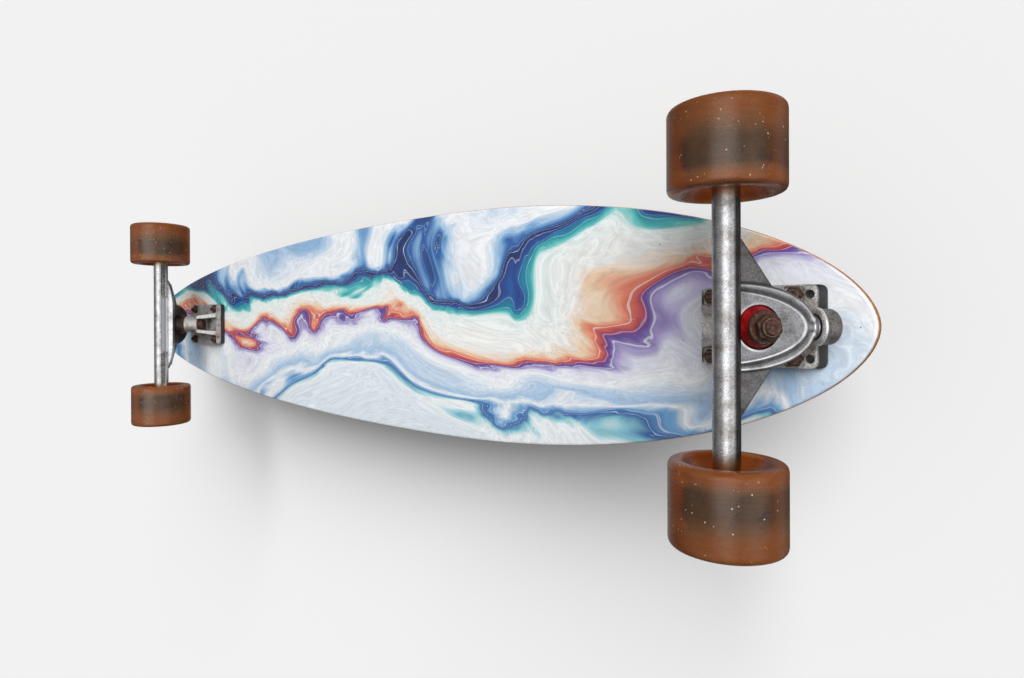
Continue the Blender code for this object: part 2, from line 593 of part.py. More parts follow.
def hanger_mesh():
    """The cast arm in the steering frame: body, ring, wings, flange, axle tube and pivot nose."""
    body = prism("body", hanger_outline(), -BODY_ROAD, BODY_DECK)
    back = -AXLE_BEHIND_RING
    wings = prism("wings", [(back, WING_REACH), (WING_TIP_X, WING_REACH), (WING_FOOT_X, WING_FOOT_Y),
                            (WING_FOOT_X, -WING_FOOT_Y), (WING_TIP_X, -WING_REACH), (back, -WING_REACH)],
                  -WING_ROAD, WING_DECK)
    flange = prism("flange", [(0, FLANGE_END), (AXLE_RAKE + FLANGE_HEIGHT, FLANGE_HALF_LENGTH),
                              (AXLE_RAKE + FLANGE_HEIGHT, -FLANGE_HALF_LENGTH), (0, -FLANGE_END)],
                   -FLANGE_THICKNESS, 0)
    tube = cylinder("tube", TUBE_RADIUS, -HANGER_WIDTH / 2, HANGER_WIDTH / 2)
    root, taper = RING_SEAT_RADIUS + RING_WALL, PIVOT_MOUTH - NOSE_TAPER_LENGTH
    tip = arc(0, PIVOT_TIP_CENTRE, PIVOT_TIP_RADIUS, 0, 90, QUARTER_STEPS)
    nose = turned("nose", [(0, root), (NOSE_ROOT_RADIUS, root), (NOSE_ROOT_RADIUS, taper),
                           (PIVOT_TIP_RADIUS, PIVOT_MOUTH)] + tip, TURNED_SIDES)
    hole = cylinder("ring hole", RING_HOLE_RADIUS, -THROUGH, THROUGH)
    deck_seat = cylinder("deck side seat", RING_SEAT_RADIUS, RING_WEB / 2, THROUGH)
    road_seat = cylinder("road side seat", RING_SEAT_RADIUS, -THROUGH, -RING_WEB / 2)
    axle_bore = cylinder("axle bore", AXLE_HOLE_RADIUS, -HANGER_WIDTH, HANGER_WIDTH, FASTENER_SIDES)
    return shaped("hanger", body, [
        (JOIN, wings, HERE), (JOIN, flange, AXLE_MIDDLE @ Matrix.Rotation(math.radians(-90), 4, "Y")),
        (JOIN, tube, AXLE_MIDDLE @ ACROSS), (JOIN, nose, ALONG_STEERING), (CUT, hole, HERE),
        (CUT, deck_seat, HERE), (CUT, road_seat, HERE), (CUT, axle_bore, AXLE_MIDDLE @ ACROSS)])


def pivot_cup_mesh():
    """The plastic cup that the hanger's pivot turns in."""
    low, high, outer = PIVOT_MOUTH + SEAT_GAP, PIVOT_MOUTH + PIVOT_CUP_DEPTH, PIVOT_CUP_RADIUS
    inner = PIVOT_TIP_RADIUS + SEAT_GAP
    hollow = arc(0, PIVOT_TIP_CENTRE, inner, 90, 0, QUARTER_STEPS)
    mouth = [(inner + PIVOT_CUP_FLARE, low), (outer, low), (outer, high), (0, high)]
    return turned("pivot_cup", mouth + hollow, TURNED_SIDES)


def kingpin_mesh():
    """The bolt that clamps the hanger between its bushings."""
    head = hexagon("kingpin head", KINGPIN_HEAD_FLATS, KINGPIN_SEAT + SEAT_GAP, KINGPIN_HEAD_END)
    shank = cylinder("kingpin", KINGPIN_RADIUS, KINGPIN_END, KINGPIN_HEAD_END - KINGPIN_HEAD_HEIGHT / 2)
    return shaped("kingpin", head, [(JOIN, shank, HERE)])


def barrel_mesh():
    """The bushing between the ring and the baseplate's boss."""
    low, bore, outer = BARREL_LOW, KINGPIN_HOLE_RADIUS, BUSHING_RADIUS
    middle, high = low + BARREL_HEIGHT / 2, low + BARREL_HEIGHT
    profile = [(bore, low), (outer, low), (outer, middle), (BARREL_TOP_RADIUS, high), (bore, high)]
    return turned("boardside_bushing", profile, TURNED_SIDES)


def cone_mesh():
    """The bushing on the ground side of the ring."""
    high, bore, outer = CONE_HIGH, KINGPIN_HOLE_RADIUS, BUSHING_RADIUS
    low, shoulder = high - CONE_HEIGHT, high - CONE_SHOULDER
    profile = [(bore, low), (CONE_TOP_RADIUS, low), (outer, shoulder), (outer, high), (bore, high)]
    return turned("roadside_bushing", profile, TURNED_SIDES)


def tyre_mesh():
    """The urethane, poured round the core, with a cone-shaped mouth on both sides.

    Its flats touch the real circles, and one of them faces the ground.
    """
    half, lip, half_side = WHEEL_WIDTH / 2, WHEEL_LIP_ROUNDING, math.pi / WHEEL_SIDES
    side = ([(CORE_RADIUS + SEAT_GAP, CORE_WIDTH / 2), (WHEEL_RADIUS - WHEEL_LIP_WIDTH, half)]
            + arc(WHEEL_RADIUS - lip, half - lip, lip, 90, 0, LIP_STEPS))
    profile = [(radius / math.cos(half_side), height) for radius, height in side]
    tyre = turned("tyre", profile + [(radius, -height) for radius, height in reversed(profile)],
                  WHEEL_SIDES)
    tyre.transform(Matrix.Rotation(half_side, 4, "Z"))
    return tyre


def core_mesh():
    """The hub that holds two bearings, with a ledge between them."""
    half, seat, ledge = CORE_WIDTH / 2, BEARING_RADIUS + SEAT_GAP, BEARINGS_APART / 2 - SEAT_GAP
    side = [(CORE_BORE_RADIUS, ledge), (seat, ledge), (seat, half), (CORE_RADIUS, half)]
    return turned("wheel_core", side + [(radius, -height) for radius, height in reversed(side)], CORE_SIDES)


def make_parts():
    """The meshes that both trucks share."""
    return {
        "riser_pad": riser_mesh(), "baseplate": baseplate_mesh(), "pivot_cup": pivot_cup_mesh(),
        "kingpin": kingpin_mesh(), "boardside_bushing": barrel_mesh(), "roadside_bushing": cone_mesh(),
        "hanger": hanger_mesh(), "tyre": tyre_mesh(), "core": core_mesh(),
        "bearing": ring("bearing", AXLE_HOLE_RADIUS, BEARING_RADIUS, -BEARING_WIDTH / 2, BEARING_WIDTH / 2,
                        CORE_SIDES),
        "boardside_washer": ring("boardside_washer", KINGPIN_HOLE_RADIUS, BOARDSIDE_WASHER_RADIUS,
                                 BOARDSIDE_WASHER_LOW, BOARDSIDE_WASHER_LOW + WASHER_THICKNESS),
        "roadside_washer": ring("roadside_washer", KINGPIN_HOLE_RADIUS, ROADSIDE_WASHER_RADIUS,
                                ROADSIDE_WASHER_HIGH - WASHER_THICKNESS, ROADSIDE_WASHER_HIGH),
        "kingpin_nut": hexagon("kingpin_nut", KINGPIN_NUT_FLATS, KINGPIN_NUT_HIGH - KINGPIN_NUT_HEIGHT,
                               KINGPIN_NUT_HIGH, KINGPIN_HOLE_RADIUS),
        "axle": cylinder("axle", AXLE_RADIUS, -AXLE_HALF_LENGTH, AXLE_HALF_LENGTH, FASTENER_SIDES),
        "axle_nut": hexagon("axle_nut", AXLE_NUT_FLATS, 0, AXLE_NUT_HEIGHT, AXLE_HOLE_RADIUS),
        "mounting_bolt": countersunk("mounting_bolt"),
        "mounting_nut": hexagon("mounting_nut", MOUNT_NUT_FLATS, -MOUNT_NUT_HEIGHT, 0,
                                BOLT_RADIUS + SEAT_GAP),
    }


# Assembly

def truck_placement(x, faces_tail):
    """Where a truck frame goes: under the deck, facing the nose or turned to face the tail."""
    return at(x, 0, DECK_FACE_Z) @ Matrix.Rotation(math.pi if faces_tail else 0.0, 4, "Z")


def hand(side, faces_tail):
    """Which side of the board a truck's +Y or -Y side is on, seen by a rider who faces the nose."""
    return "left" if (side > 0) != faces_tail else "right"


def make_wheel(name, parts, steering, side):
    """A wheel with its bearings and axle nut; side is +1 or -1 across the truck."""
    upright = Matrix.Rotation(STEER_ANGLE, 4, "Y")
    outward = Matrix.Rotation(math.radians(-90 * side), 4, "X")
    hub = AXLE_MIDDLE @ at(0, side * WHEEL_CENTRE_Y, 0)
    spindle = empty(f"{name}_spindle", steering, hub @ upright @ outward)
    bearing_step = (BEARINGS_APART + BEARING_WIDTH) / 2
    piece(f"{name}_tyre", parts["tyre"], AMBER_URETHANE, spindle)
    piece(f"{name}_core", parts["core"], GREY_NYLON, spindle)
    piece(f"{name}_inner_bearing", parts["bearing"], BEARING_STEEL, spindle, at(0, 0, -bearing_step))
    piece(f"{name}_outer_bearing", parts["bearing"], BEARING_STEEL, spindle, at(0, 0, bearing_step))
    piece(f"{name}_axle_nut", parts["axle_nut"], RUSTY_STEEL, spindle,
          at(0, 0, AXLE_NUT_Y - WHEEL_CENTRE_Y))


def make_truck(end, parts, placement, faces_tail):
    """All the pieces of one truck and its two wheels."""
    frame = empty(f"{end}_truck", None, placement)
    steering = empty(f"{end}_steering_axis", frame, STEERING_FRAME)
    piece(f"{end}_riser_pad", parts["riser_pad"], BLACK_PLASTIC, frame)
    piece(f"{end}_baseplate", parts["baseplate"], CAST_ALUMINIUM, frame)
    piece(f"{end}_pivot_cup", parts["pivot_cup"], BLACK_URETHANE, steering, ALONG_STEERING)
    piece(f"{end}_boardside_bushing", parts["boardside_bushing"], BLACK_URETHANE, steering)
    piece(f"{end}_roadside_bushing", parts["roadside_bushing"], RED_URETHANE, steering)
    for label in ("kingpin", "kingpin_nut", "boardside_washer", "roadside_washer"):
        piece(f"{end}_{label}", parts[label], RUSTY_STEEL, steering)
    piece(f"{end}_hanger", parts["hanger"], TUMBLED_ALUMINIUM, steering)
    piece(f"{end}_axle", parts["axle"], AXLE_STEEL, steering, AXLE_MIDDLE @ ACROSS)
    for row, side, x, y in bolt_places():
        label = f"{end}_{row}_{hand(side, faces_tail)}"
        piece(f"{label}_bolt", parts["mounting_bolt"], RUSTY_STEEL, frame, at(x, y, DECK_THICKNESS))
        piece(f"{label}_nut", parts["mounting_nut"], RUSTY_STEEL, frame, at(x, y, NUT_SEAT_Z - SEAT_GAP))
    for side in (1, -1):
        make_wheel(f"{end}_{hand(side, faces_tail)}", parts, steering, side)


def main():
    """Builds the board on its trucks."""
    clear_scene()
    front, rear = truck_placement(FRONT_PLATE_X, False), truck_placement(REAR_PLATE_X, True)
    make_deck((front, rear))
    parts = make_parts()
    make_truck("front", parts, front, False)
    make_truck("rear", parts, rear, True)


main()
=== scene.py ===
"""The looks of a pintail longboard that is seen from below, with its printed side towards the camera.

Metres, +Z up, +X towards the nose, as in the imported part. After the camera and the studio, the sections
follow the board as it is put together: the deck, the trucks from the deck downwards, and the wheels.
Both trucks share their meshes, and so do the four wheels.
"""
import json
import math

import bmesh
import bpy
import numpy as np
from mathutils import Euler, Matrix, Vector
from mathutils.kdtree import KDTree


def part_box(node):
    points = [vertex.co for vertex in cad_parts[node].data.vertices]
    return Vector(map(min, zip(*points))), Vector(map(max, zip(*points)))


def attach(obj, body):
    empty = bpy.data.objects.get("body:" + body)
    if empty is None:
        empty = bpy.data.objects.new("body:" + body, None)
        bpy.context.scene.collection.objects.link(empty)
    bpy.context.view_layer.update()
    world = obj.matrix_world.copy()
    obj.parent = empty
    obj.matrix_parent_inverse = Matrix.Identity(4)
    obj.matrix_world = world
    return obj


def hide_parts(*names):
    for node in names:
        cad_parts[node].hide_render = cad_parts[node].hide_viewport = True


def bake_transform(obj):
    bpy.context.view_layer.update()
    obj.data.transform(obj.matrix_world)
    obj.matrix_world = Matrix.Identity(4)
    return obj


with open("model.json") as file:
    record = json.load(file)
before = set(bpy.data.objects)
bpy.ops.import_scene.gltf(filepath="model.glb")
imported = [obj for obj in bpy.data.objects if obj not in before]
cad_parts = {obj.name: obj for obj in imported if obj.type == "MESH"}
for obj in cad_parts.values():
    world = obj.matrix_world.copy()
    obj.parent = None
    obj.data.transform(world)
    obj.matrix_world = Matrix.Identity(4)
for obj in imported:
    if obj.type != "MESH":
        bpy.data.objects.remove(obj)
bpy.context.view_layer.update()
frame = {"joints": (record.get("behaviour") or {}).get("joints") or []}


# Camera. It stands below the nose and looks up at the printed side, as the photograph does. Its place was
# solved from the trucks, the wheels and the deck's outline.


def in_scene(name, data):
    """A new object of the scene, with its mesh, its lamp or its camera."""
    item = bpy.data.objects.new(name, data)
    bpy.context.collection.objects.link(item)
    return item


camera = in_scene("camera", bpy.data.cameras.new("camera"))
bpy.context.scene.camera = camera
camera.location = (0.55252, -0.00574, -0.34027)
camera.rotation_euler = Euler([math.radians(turn) for turn in (179.644, -37.585, 0.279)])
camera.data.sensor_width = 36
camera.data.lens = 22.15
camera.data.shift_x, camera.data.shift_y = -0.00146, -0.01777
camera.data.clip_start = 0.01


# Studio. A pale floor carries the board for views from above. A pale sheet hangs over it for views from
# below. Each is seen from its own side only, and neither casts shadows or light on the board.

BACKGROUND = "#f2f2f2"
AMBIENT = 0.30                  # grey light from all round
LAMPS = (                       # where each one's light goes, its strength, and its width in degrees
    ("lamp_below", (-0.80, 0.85, 1.0), 3.5, 50), ("lamp_above", (0.35, 0.45, -1.0), 2.35, 30))
SOFTBOXES = (                   # where each one stands as metal mirrors it, and how bright it is
    ((0.30, -0.05, -0.95), 2.2), ((0.95, 0.10, -0.28), 1.1))
SOFTBOX_EDGE = (0.84, 0.97)     # cosines of the angles off its middle where its glow ends and is full
STAGE_REACH = 40.0              # half the width of the floor and of the sheet
SHEET_Z = 0.2050
SHEET_RISE = 0.04               # its slope across the board


def paint(code):
    """An sRGB hex colour as linear red, green, blue and alpha."""
    parts = [int(code[i:i + 2], 16) / 255 for i in (1, 3, 5)]
    linear = [part / 12.92 if part <= 0.04045 else ((part + 0.055) / 1.055) ** 2.4 for part in parts]
    return (*linear, 1.0)


def feed(node, inputs):
    """Sets a node's inputs, each a plain value, or the node or socket that it is linked from."""
    shown = [socket for socket in node.inputs if socket.enabled]
    for key, value in inputs.items():
        socket = shown[key] if isinstance(key, int) else next(s for s in shown if s.name == key)
        if isinstance(value, bpy.types.Node):
            value = next(output for output in value.outputs if output.enabled)
        if isinstance(value, bpy.types.NodeSocket):
            node.id_data.links.new(value, socket)
        else:
            socket.default_value = value


def add(tree, kind, inputs=None, stops=(), **settings):
    """A shader node with its settings, its links and, on a colour ramp, its stops.

    A new ramp has two stops: the first two given are put on those, and the rest are added.
    """
    node = tree.nodes.new("ShaderNode" + kind)
    for name, value in settings.items():
        setattr(node, name, value)
    for i, (share, colour) in enumerate(stops):
        points = node.color_ramp.elements
        point = points[i] if i < 2 else points.new(share)
        point.position = share
        point.color = paint(colour) if isinstance(colour, str) else (colour, colour, colour, 1.0)
    feed(node, inputs or {})
    return node


def finish_of(name, **shader_inputs):
    """A new material with its node tree, its Principled shader and the place in the piece's own frame.

    Spaces in the names of the shader's inputs are written _.
    """
    material = bpy.data.materials.new(name)
    material.use_nodes = True
    tree = material.node_tree
    shader = tree.nodes["Principled BSDF"]
    feed(shader, {key.replace("_", " "): value for key, value in shader_inputs.items()})
    return material, tree, shader, add(tree, "TexCoord").outputs["Object"]


def mesh_from(bm, name):
    """A mesh with what a bmesh holds; the bmesh is freed."""
    mesh = bpy.data.meshes.new(name)
    bm.to_mesh(mesh)
    bm.free()
    return mesh


def stage_sheet(name, placement, seen_from_below):
    """A wide sheet that is opaque from one side and clear from the other."""
    bm = bmesh.new()
    bmesh.ops.create_grid(bm, x_segments=1, y_segments=1, size=STAGE_REACH)
    sheet = in_scene(name, mesh_from(bm, name))
    sheet.matrix_world = placement
    sheet.visible_shadow = sheet.visible_diffuse = sheet.visible_glossy = False
    sheet.visible_transmission = False
    material = bpy.data.materials.new(name)
    material.use_nodes = True
    tree = material.node_tree
    tree.nodes.clear()
    paper = add(tree, "BsdfDiffuse", {"Color": paint(BACKGROUND)})
    clear = add(tree, "BsdfTransparent")
    top, underside = (clear, paper) if seen_from_below else (paper, clear)
    from_below = add(tree, "NewGeometry").outputs["Backfacing"]
    add(tree, "OutputMaterial", {
        "Surface": add(tree, "MixShader", {0: from_below, 1: top, 2: underside})})
    sheet.data.materials.append(material)


def soft_sun(name, towards, strength, spread):
    """Even light from a wide lamp far away; towards is where its light goes."""
    lamp = in_scene(name, bpy.data.lights.new(name, "SUN"))
    lamp.data.energy = strength
    lamp.data.angle = math.radians(spread)
    lamp.visible_glossy = lamp.visible_transmission = False
    lamp.rotation_euler = Vector(towards).to_track_quat("-Z", "Y").to_euler()


stage_sheet("studio_floor", Matrix(), False)
sheet_tilt = Vector((0, -SHEET_RISE, 1)).to_track_quat("Z", "Y").to_matrix().to_4x4()
stage_sheet("studio_sheet", Matrix.Translation((0, 0, SHEET_Z)) @ sheet_tilt, True)
for lamp in LAMPS:
    soft_sun(*lamp)

# The board is lit by plain grey. Its metal mirrors a room with soft bands of light and the softboxes,
# light that leaves the urethane sees a pale room that darkens to the sides, and the camera sees the
# background's own colour.
world = bpy.data.worlds.new("studio")
bpy.context.scene.world = world
world.use_nodes = True
sky = world.node_tree
sky.nodes.clear()
rays = add(sky, "LightPath")
towards = add(sky, "TexCoord").outputs["Generated"]
height = add(sky, "SeparateXYZ", {0: towards}).outputs["Z"]
from_floor = add(sky, "MapRange", {"Value": height, "From Min": -1.0})
mirror_room = add(sky, "ValToRGB", {"Fac": from_floor}, stops=[
    (0.0, 0.46), (1.0, 0.06), (0.12, 0.44), (0.32, 0.20), (0.5, 0.09), (0.68, 0.24), (0.84, 0.42),
    (0.94, 0.12)])
for middle, glow in SOFTBOXES:
    middle = Vector(middle).normalized()
    facing = add(sky, "VectorMath", {0: towards, 1: middle}, operation="DOT_PRODUCT").outputs["Value"]
    light = add(sky, "MapRange", {"Value": facing, "From Min": SOFTBOX_EDGE[0],
                                  "From Max": SOFTBOX_EDGE[1], "To Max": glow})
    mirror_room = add(sky, "Mix", {"Factor": 1.0, "A": mirror_room, "B": light}, data_type="RGBA",
                      blend_type="ADD")
steepness = add(sky, "Math", {0: height}, operation="ABSOLUTE")
seen_through = add(sky, "ValToRGB", {"Fac": steepness}, stops=[(0.15, 0.26), (0.85, 0.89)])
room = add(sky, "Background", {"Color": (AMBIENT, AMBIENT, AMBIENT, 1)})
for kind, colour in (("Is Glossy Ray", mirror_room), ("Is Transmission Ray", seen_through),
                     ("Is Camera Ray", paint(BACKGROUND))):
    seen = add(sky, "Background", {"Color": colour})
    room = add(sky, "MixShader", {0: rays.outputs[kind], 1: room, 2: seen})
add(sky, "OutputWorld", {"Surface": room})
bpy.context.scene.view_settings.view_transform = "Standard"


# Deck. Seven maple plies are pressed into a pintail with a slight concave, cut, rounded at the rim and
# lacquered. The underside carries a print that the rounded rim leaves bare.

MM = 0.001
NOSE_X = 0.495
WIDEST_X = 0.125
HALF_WIDTH = 0.108
DECK_THICKNESS = 11 * MM
RAIL_ROUNDING = 2.5 * MM
FLAT_HALF_WIDTH = 46 * MM
CONCAVE_RISE = 4 * MM
NOSE_POWERS = (2.2, 1.85)       # how full the outline is, along the board and across it
TAIL_POWERS = (2.0, 1.82)
DECK_FACE_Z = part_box("deck")[0].z
PLIES = 7
PRINT_MARGIN = 0.5 * MM         # bare wood between the print and the rim
PRINT_RISE = 1.6 * MM           # how far up the rounded rim the print goes
BOLTS_ACROSS = 41.3 * MM
BOLT_ROWS = {"inner": -31.75 * MM, "outer": 22.25 * MM}         # places along a truck
HOLE_RADIUS, SINK_RADIUS, SINK_DEPTH = 2.7 * MM, 4.9 * MM, 2.9 * MM
FRONT_TRUCK_X, REAR_TRUCK_X = 0.426, -0.324
TRUCKS = {"front": Matrix.Translation((FRONT_TRUCK_X, 0, DECK_FACE_Z)),
          "rear": Matrix.Translation((REAR_TRUCK_X, 0, DECK_FACE_Z)) @ Matrix.Rotation(math.pi, 4, "Z")}
SAME_POINT = 0.001 * MM         # points closer than this are one
THROUGH = 10 * MM               # how far a cutter goes past what it cuts


def smoothed(mesh, sharp_over=38):
    """The mesh, shaded smooth but for the edges over that angle."""
    mesh.shade_smooth()
    mesh.set_sharp_from_angle(angle=math.radians(sharp_over))
    return mesh


def solid_from(bm, name, sharp_over=38):
    """The mesh of a bmesh as a clean solid, its faces pointing out."""
    bmesh.ops.remove_doubles(bm, verts=bm.verts, dist=SAME_POINT)
    loose = [edge for edge in bm.edges if not edge.link_faces]
    bmesh.ops.delete(bm, geom=loose, context="EDGES")
    bmesh.ops.recalc_face_normals(bm, faces=bm.faces)
    return smoothed(mesh_from(bm, name), sharp_over)


def rounded(corners, steps=5):
    """A closed outline from corners (x, y, rounding), each cut back by its rounding and curved."""
    points = []
    for i, (x, y, rounding) in enumerate(corners):
        here = Vector((x, y))
        if not rounding:
            points.append((x, y))
            continue
        start = here + (Vector(corners[i - 1][:2]) - here).normalized() * rounding
        end = here + (Vector(corners[(i + 1) % len(corners)][:2]) - here).normalized() * rounding
        for share in (step / steps for step in range(steps + 1)):
            spot = (1 - share) ** 2 * start + 2 * share * (1 - share) * here + share ** 2 * end
            points.append(tuple(spot))
    return points


def turned(name, profile, sides=64, sharp_over=38):
    """A solid turned about Z from a closed profile of (radius, height) points."""
    bm = bmesh.new()
    verts = [bm.verts.new((radius, 0, height)) for radius, height in profile]
    edges = [bm.edges.new((verts[i - 1], verts[i])) for i in range(len(verts))]
    bmesh.ops.spin(bm, geom=verts + edges, cent=(0, 0, 0), axis=(0, 0, 1), angle=math.tau, steps=sides,
                   use_merge=True)
    return solid_from(bm, name, sharp_over)


def bar(name, radius, low, high, sides=48):
    """A plain round bar about Z."""
    return turned(name, [(0, low), (radius, low), (radius, high), (0, high)], sides)


def slab(name, outline, low, high, upright=False):
    """An outline of points made into a slab along Z, or along Y from (x, z) points if upright."""
    bm = bmesh.new()
    face = bm.faces.new([bm.verts.new((x, y, low)) for x, y in outline])
    grown = bmesh.ops.extrude_face_region(bm, geom=[face])["geom"]
    raised = [item for item in grown if isinstance(item, bmesh.types.BMVert)]
    bmesh.ops.translate(bm, verts=raised, vec=(0, 0, high - low))
    if upright:
        bmesh.ops.transform(bm, matrix=Matrix.Rotation(math.radians(90), 4, "X"), verts=bm.verts)
    return solid_from(bm, name)


def joined(name, parts):
    """One mesh of several (mesh, placement) parts, which may overlap."""
    bm = bmesh.new()
    for mesh, placement in parts:
        copy = mesh.copy()
        copy.transform(placement)
        bm.from_mesh(copy)
        bpy.data.meshes.remove(copy)
    return mesh_from(bm, name)


def after(mesh, modifiers, sharp_over=38):
    """The mesh after modifiers, each (kind, settings)."""
    item = in_scene(mesh.name, mesh)
    for kind, settings in modifiers:
        modifier = item.modifiers.new(kind, kind)
        for key, value in settings.items():
            setattr(modifier, key, value)
    bpy.context.view_layer.update()
    result = bpy.data.meshes.new_from_object(item.evaluated_get(bpy.context.evaluated_depsgraph_get()))
    result.name = mesh.name
    result.materials.clear()
    bpy.data.objects.remove(item)
    return smoothed(result, sharp_over)


def cut(tool, placement=Matrix()):
    """A cut for worked: what the tool takes away."""
    return "DIFFERENCE", tool, placement


def worked(mesh, steps, sharp_over=38):
    """The mesh after joins and cuts, each (operation, tool, placement)."""
    tools = []
    for operation, tool_mesh, placement in steps:
        tool = in_scene("tool", tool_mesh)
        tool.matrix_world = placement
        tools.append(("BOOLEAN", {"operation": operation, "object": tool, "solver": "MANIFOLD"}))
    result = after(mesh, tools, sharp_over)
    for _, settings in tools:
        bpy.data.objects.remove(settings["object"])
    return result


def place(name, mesh, finish, body, nodes=(), placement=Matrix()):
    """One finished piece of the board; nodes are the CAD solids that it stands for."""
    item = in_scene(name, mesh)
    item.matrix_world = placement
    if not mesh.materials:
        mesh.materials.append(finish)
    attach(item, body)
    if nodes:
        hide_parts(*nodes)


def stations(inset, nose_count=84, tail_count=96):
    """Places along the board from nose to tail, each (x, half width), for an outline set in by inset."""
    ends = []
    for count, tip, powers in ((nose_count, NOSE_X, NOSE_POWERS), (tail_count, -NOSE_X, TAIL_POWERS)):
        length = tip - math.copysign(inset, tip) - WIDEST_X
        turns = [math.radians(90 * step / count) for step in range(count)]
        ends.append([(WIDEST_X + length * math.cos(turn) ** (2 / powers[0]),
                      (HALF_WIDTH - inset) * math.sin(turn) ** (2 / powers[1])) for turn in turns])
    return ends[0] + [(WIDEST_X, HALF_WIDTH - inset)] + ends[1][::-1]


def rail_lift(y):
    """How far the concave raises the board at y."""
    past = np.maximum(0.0, np.abs(y) - FLAT_HALF_WIDTH) / (HALF_WIDTH - FLAT_HALF_WIDTH)
    return CONCAVE_RISE * past ** 2


def skin_between(bm, loops):
    """Faces between loops of equally many points."""
    for lower, upper in zip(loops, loops[1:]):
        for i in range(len(lower)):
            bm.faces.new((lower[i - 1], lower[i], upper[i], upper[i - 1]))


def plank(name, section, inset, sharp_over):
    """A board that follows the outline and the concave; section is its edge as (inset, height)."""
    columns = (0, 0.18, 0.36, 0.5, 0.62, 0.74, 0.84, 0.91, 0.95, 0.975, 0.99, 1)   # middle to rim
    shares = [-share for share in columns[:0:-1]] + list(columns)
    bm = bmesh.new()
    loops = []
    for side, height in section:
        rows = stations(inset + side)
        ring = [(x, half) for x, half in rows] + [(x, -half) for x, half in rows[-2:0:-1]]
        loops.append([bm.verts.new((x, y, height + rail_lift(y))) for x, y in ring])
    skin_between(bm, loops)
    for side, height in (section[0], section[-1]):
        rows = [[bm.verts.new((x, half * share, height + rail_lift(half * share))) for share in shares]
                for x, half in stations(inset + side)]
        for near, far in zip(rows, rows[1:]):
            for column in range(len(shares) - 1):
                bm.faces.new((near[column], near[column + 1], far[column + 1], far[column]))
    return solid_from(bm, name, sharp_over)


def mark(mesh, name, values):
    """Keeps a number for every point of a mesh, for its material."""
    mesh.attributes.new(name, "FLOAT", "POINT").data.foreach_set("value", values.astype(np.float32))


def points_of(mesh):
    """The mesh's points as rows."""
    points = np.empty(len(mesh.vertices) * 3, np.float32)
    mesh.vertices.foreach_get("co", points)
    return points.reshape(-1, 3)


def cells(mm):
    """The scale at which a texture's cells are about this many millimetres across."""
    return 1000 / mm


def bolt_places():
    """The four bolts of each truck as (name, placement on the deck's underside)."""
    for end, truck in TRUCKS.items():
        for row, x in BOLT_ROWS.items():
            for side in (1, -1):
                hand = "left" if (side > 0) == (end == "front") else "right"
                yield f"{end}_{row}_{hand}", truck @ Matrix.Translation((x, side * BOLTS_ACROSS / 2, 0))


RAISED_TOP = Matrix.Translation((0, 0, DECK_THICKNESS))
round_edge = rounded([(HALF_WIDTH, 0, 0), (0, 0, RAIL_ROUNDING), (0, DECK_THICKNESS, RAIL_ROUNDING),
                      (HALF_WIDTH, DECK_THICKNESS, 0)], 6)[1:-1]     # without its two inboard corners
hole_end = -DECK_THICKNESS - THROUGH
hole = turned("bolt_hole", [(0, hole_end), (HOLE_RADIUS, hole_end), (HOLE_RADIUS, -SINK_DEPTH),
                            (SINK_RADIUS, 0), (SINK_RADIUS, THROUGH), (0, THROUGH)], 32)
holes = [cut(hole, spot @ RAISED_TOP) for _, spot in bolt_places()]
board = plank("deck_board", [(side, DECK_FACE_Z + up) for side, up in round_edge], 0.0, 50)
board = worked(board, holes, 50)
points = points_of(board)
rim_spots = [(x, side * half, 0) for x, half in stations(0.0, 400, 400) for side in (1, -1)]
rim = KDTree(len(rim_spots))
for i, spot in enumerate(rim_spots):
    rim.insert(spot, i)
rim.balance()
mark(board, "from_rim", np.array([rim.find((x, y, 0))[2] for x, y, _ in points]))
mark(board, "depth", points[:, 2] - DECK_FACE_Z - rail_lift(points[:, 1]))

# Maple ply: rotary-cut veneer, alternately long grain and cross grain, sanded and sealed. The rim shows
# the plies as light and darker stripes with thin glue lines.
maple_finish, tree, shader, place_in = finish_of(
    "sealed maple ply", Roughness=0.42, Coat_Weight=0.25, Coat_Roughness=0.3)
depth = add(tree, "Attribute", attribute_name="depth").outputs["Fac"]
layer = add(tree, "Math", {0: depth, 1: PLIES / DECK_THICKNESS}, operation="MULTIPLY")
within = add(tree, "Math", {0: layer}, operation="FRACT")
veneer = add(tree, "ValToRGB", {"Fac": within}, stops=[
    (0.0, 0.0), (0.06, 1.0), (0.94, 1.0), (1.0, 0.0)])
crossed = add(tree, "Math", {0: layer, 1: 2.0}, operation="MODULO")
crossed = add(tree, "Math", {0: crossed, 1: 1.0}, operation="GREATER_THAN")
fibres = add(tree, "Mapping", {"Vector": place_in, "Scale": (0.06, 1, 1)})
grain = add(tree, "TexNoise", {"Vector": fibres, "Scale": cells(1.6), "Detail": 4.0})
long_grain = add(tree, "ValToRGB", {"Fac": grain},
                 stops=[(0.3, "#a9713f"), (0.5, "#c79460"), (0.72, "#dcb384")])
cross_grain = add(tree, "ValToRGB", {"Fac": grain},
                  stops=[(0.3, "#7d4c2a"), (0.5, "#9a6539"), (0.72, "#b98353")])
grime = add(tree, "TexNoise", {"Vector": place_in, "Scale": cells(14), "Detail": 6.0, "Roughness": 0.6})
grime = add(tree, "ValToRGB", {"Fac": grime}, stops=[(0.5, 0.0), (0.75, 0.55)])
wood = add(tree, "Mix", {"Factor": crossed, "A": long_grain, "B": cross_grain}, data_type="RGBA")
wood = add(tree, "Mix", {"Factor": veneer, "A": paint("#5a3a22"), "B": wood}, data_type="RGBA")
wood = add(tree, "Mix", {"Factor": grime, "A": wood, "B": paint("#6e5a48")}, data_type="RGBA")
bump = add(tree, "Bump", {"Height": grain, "Strength": 0.35, "Distance": 0.1 * MM})
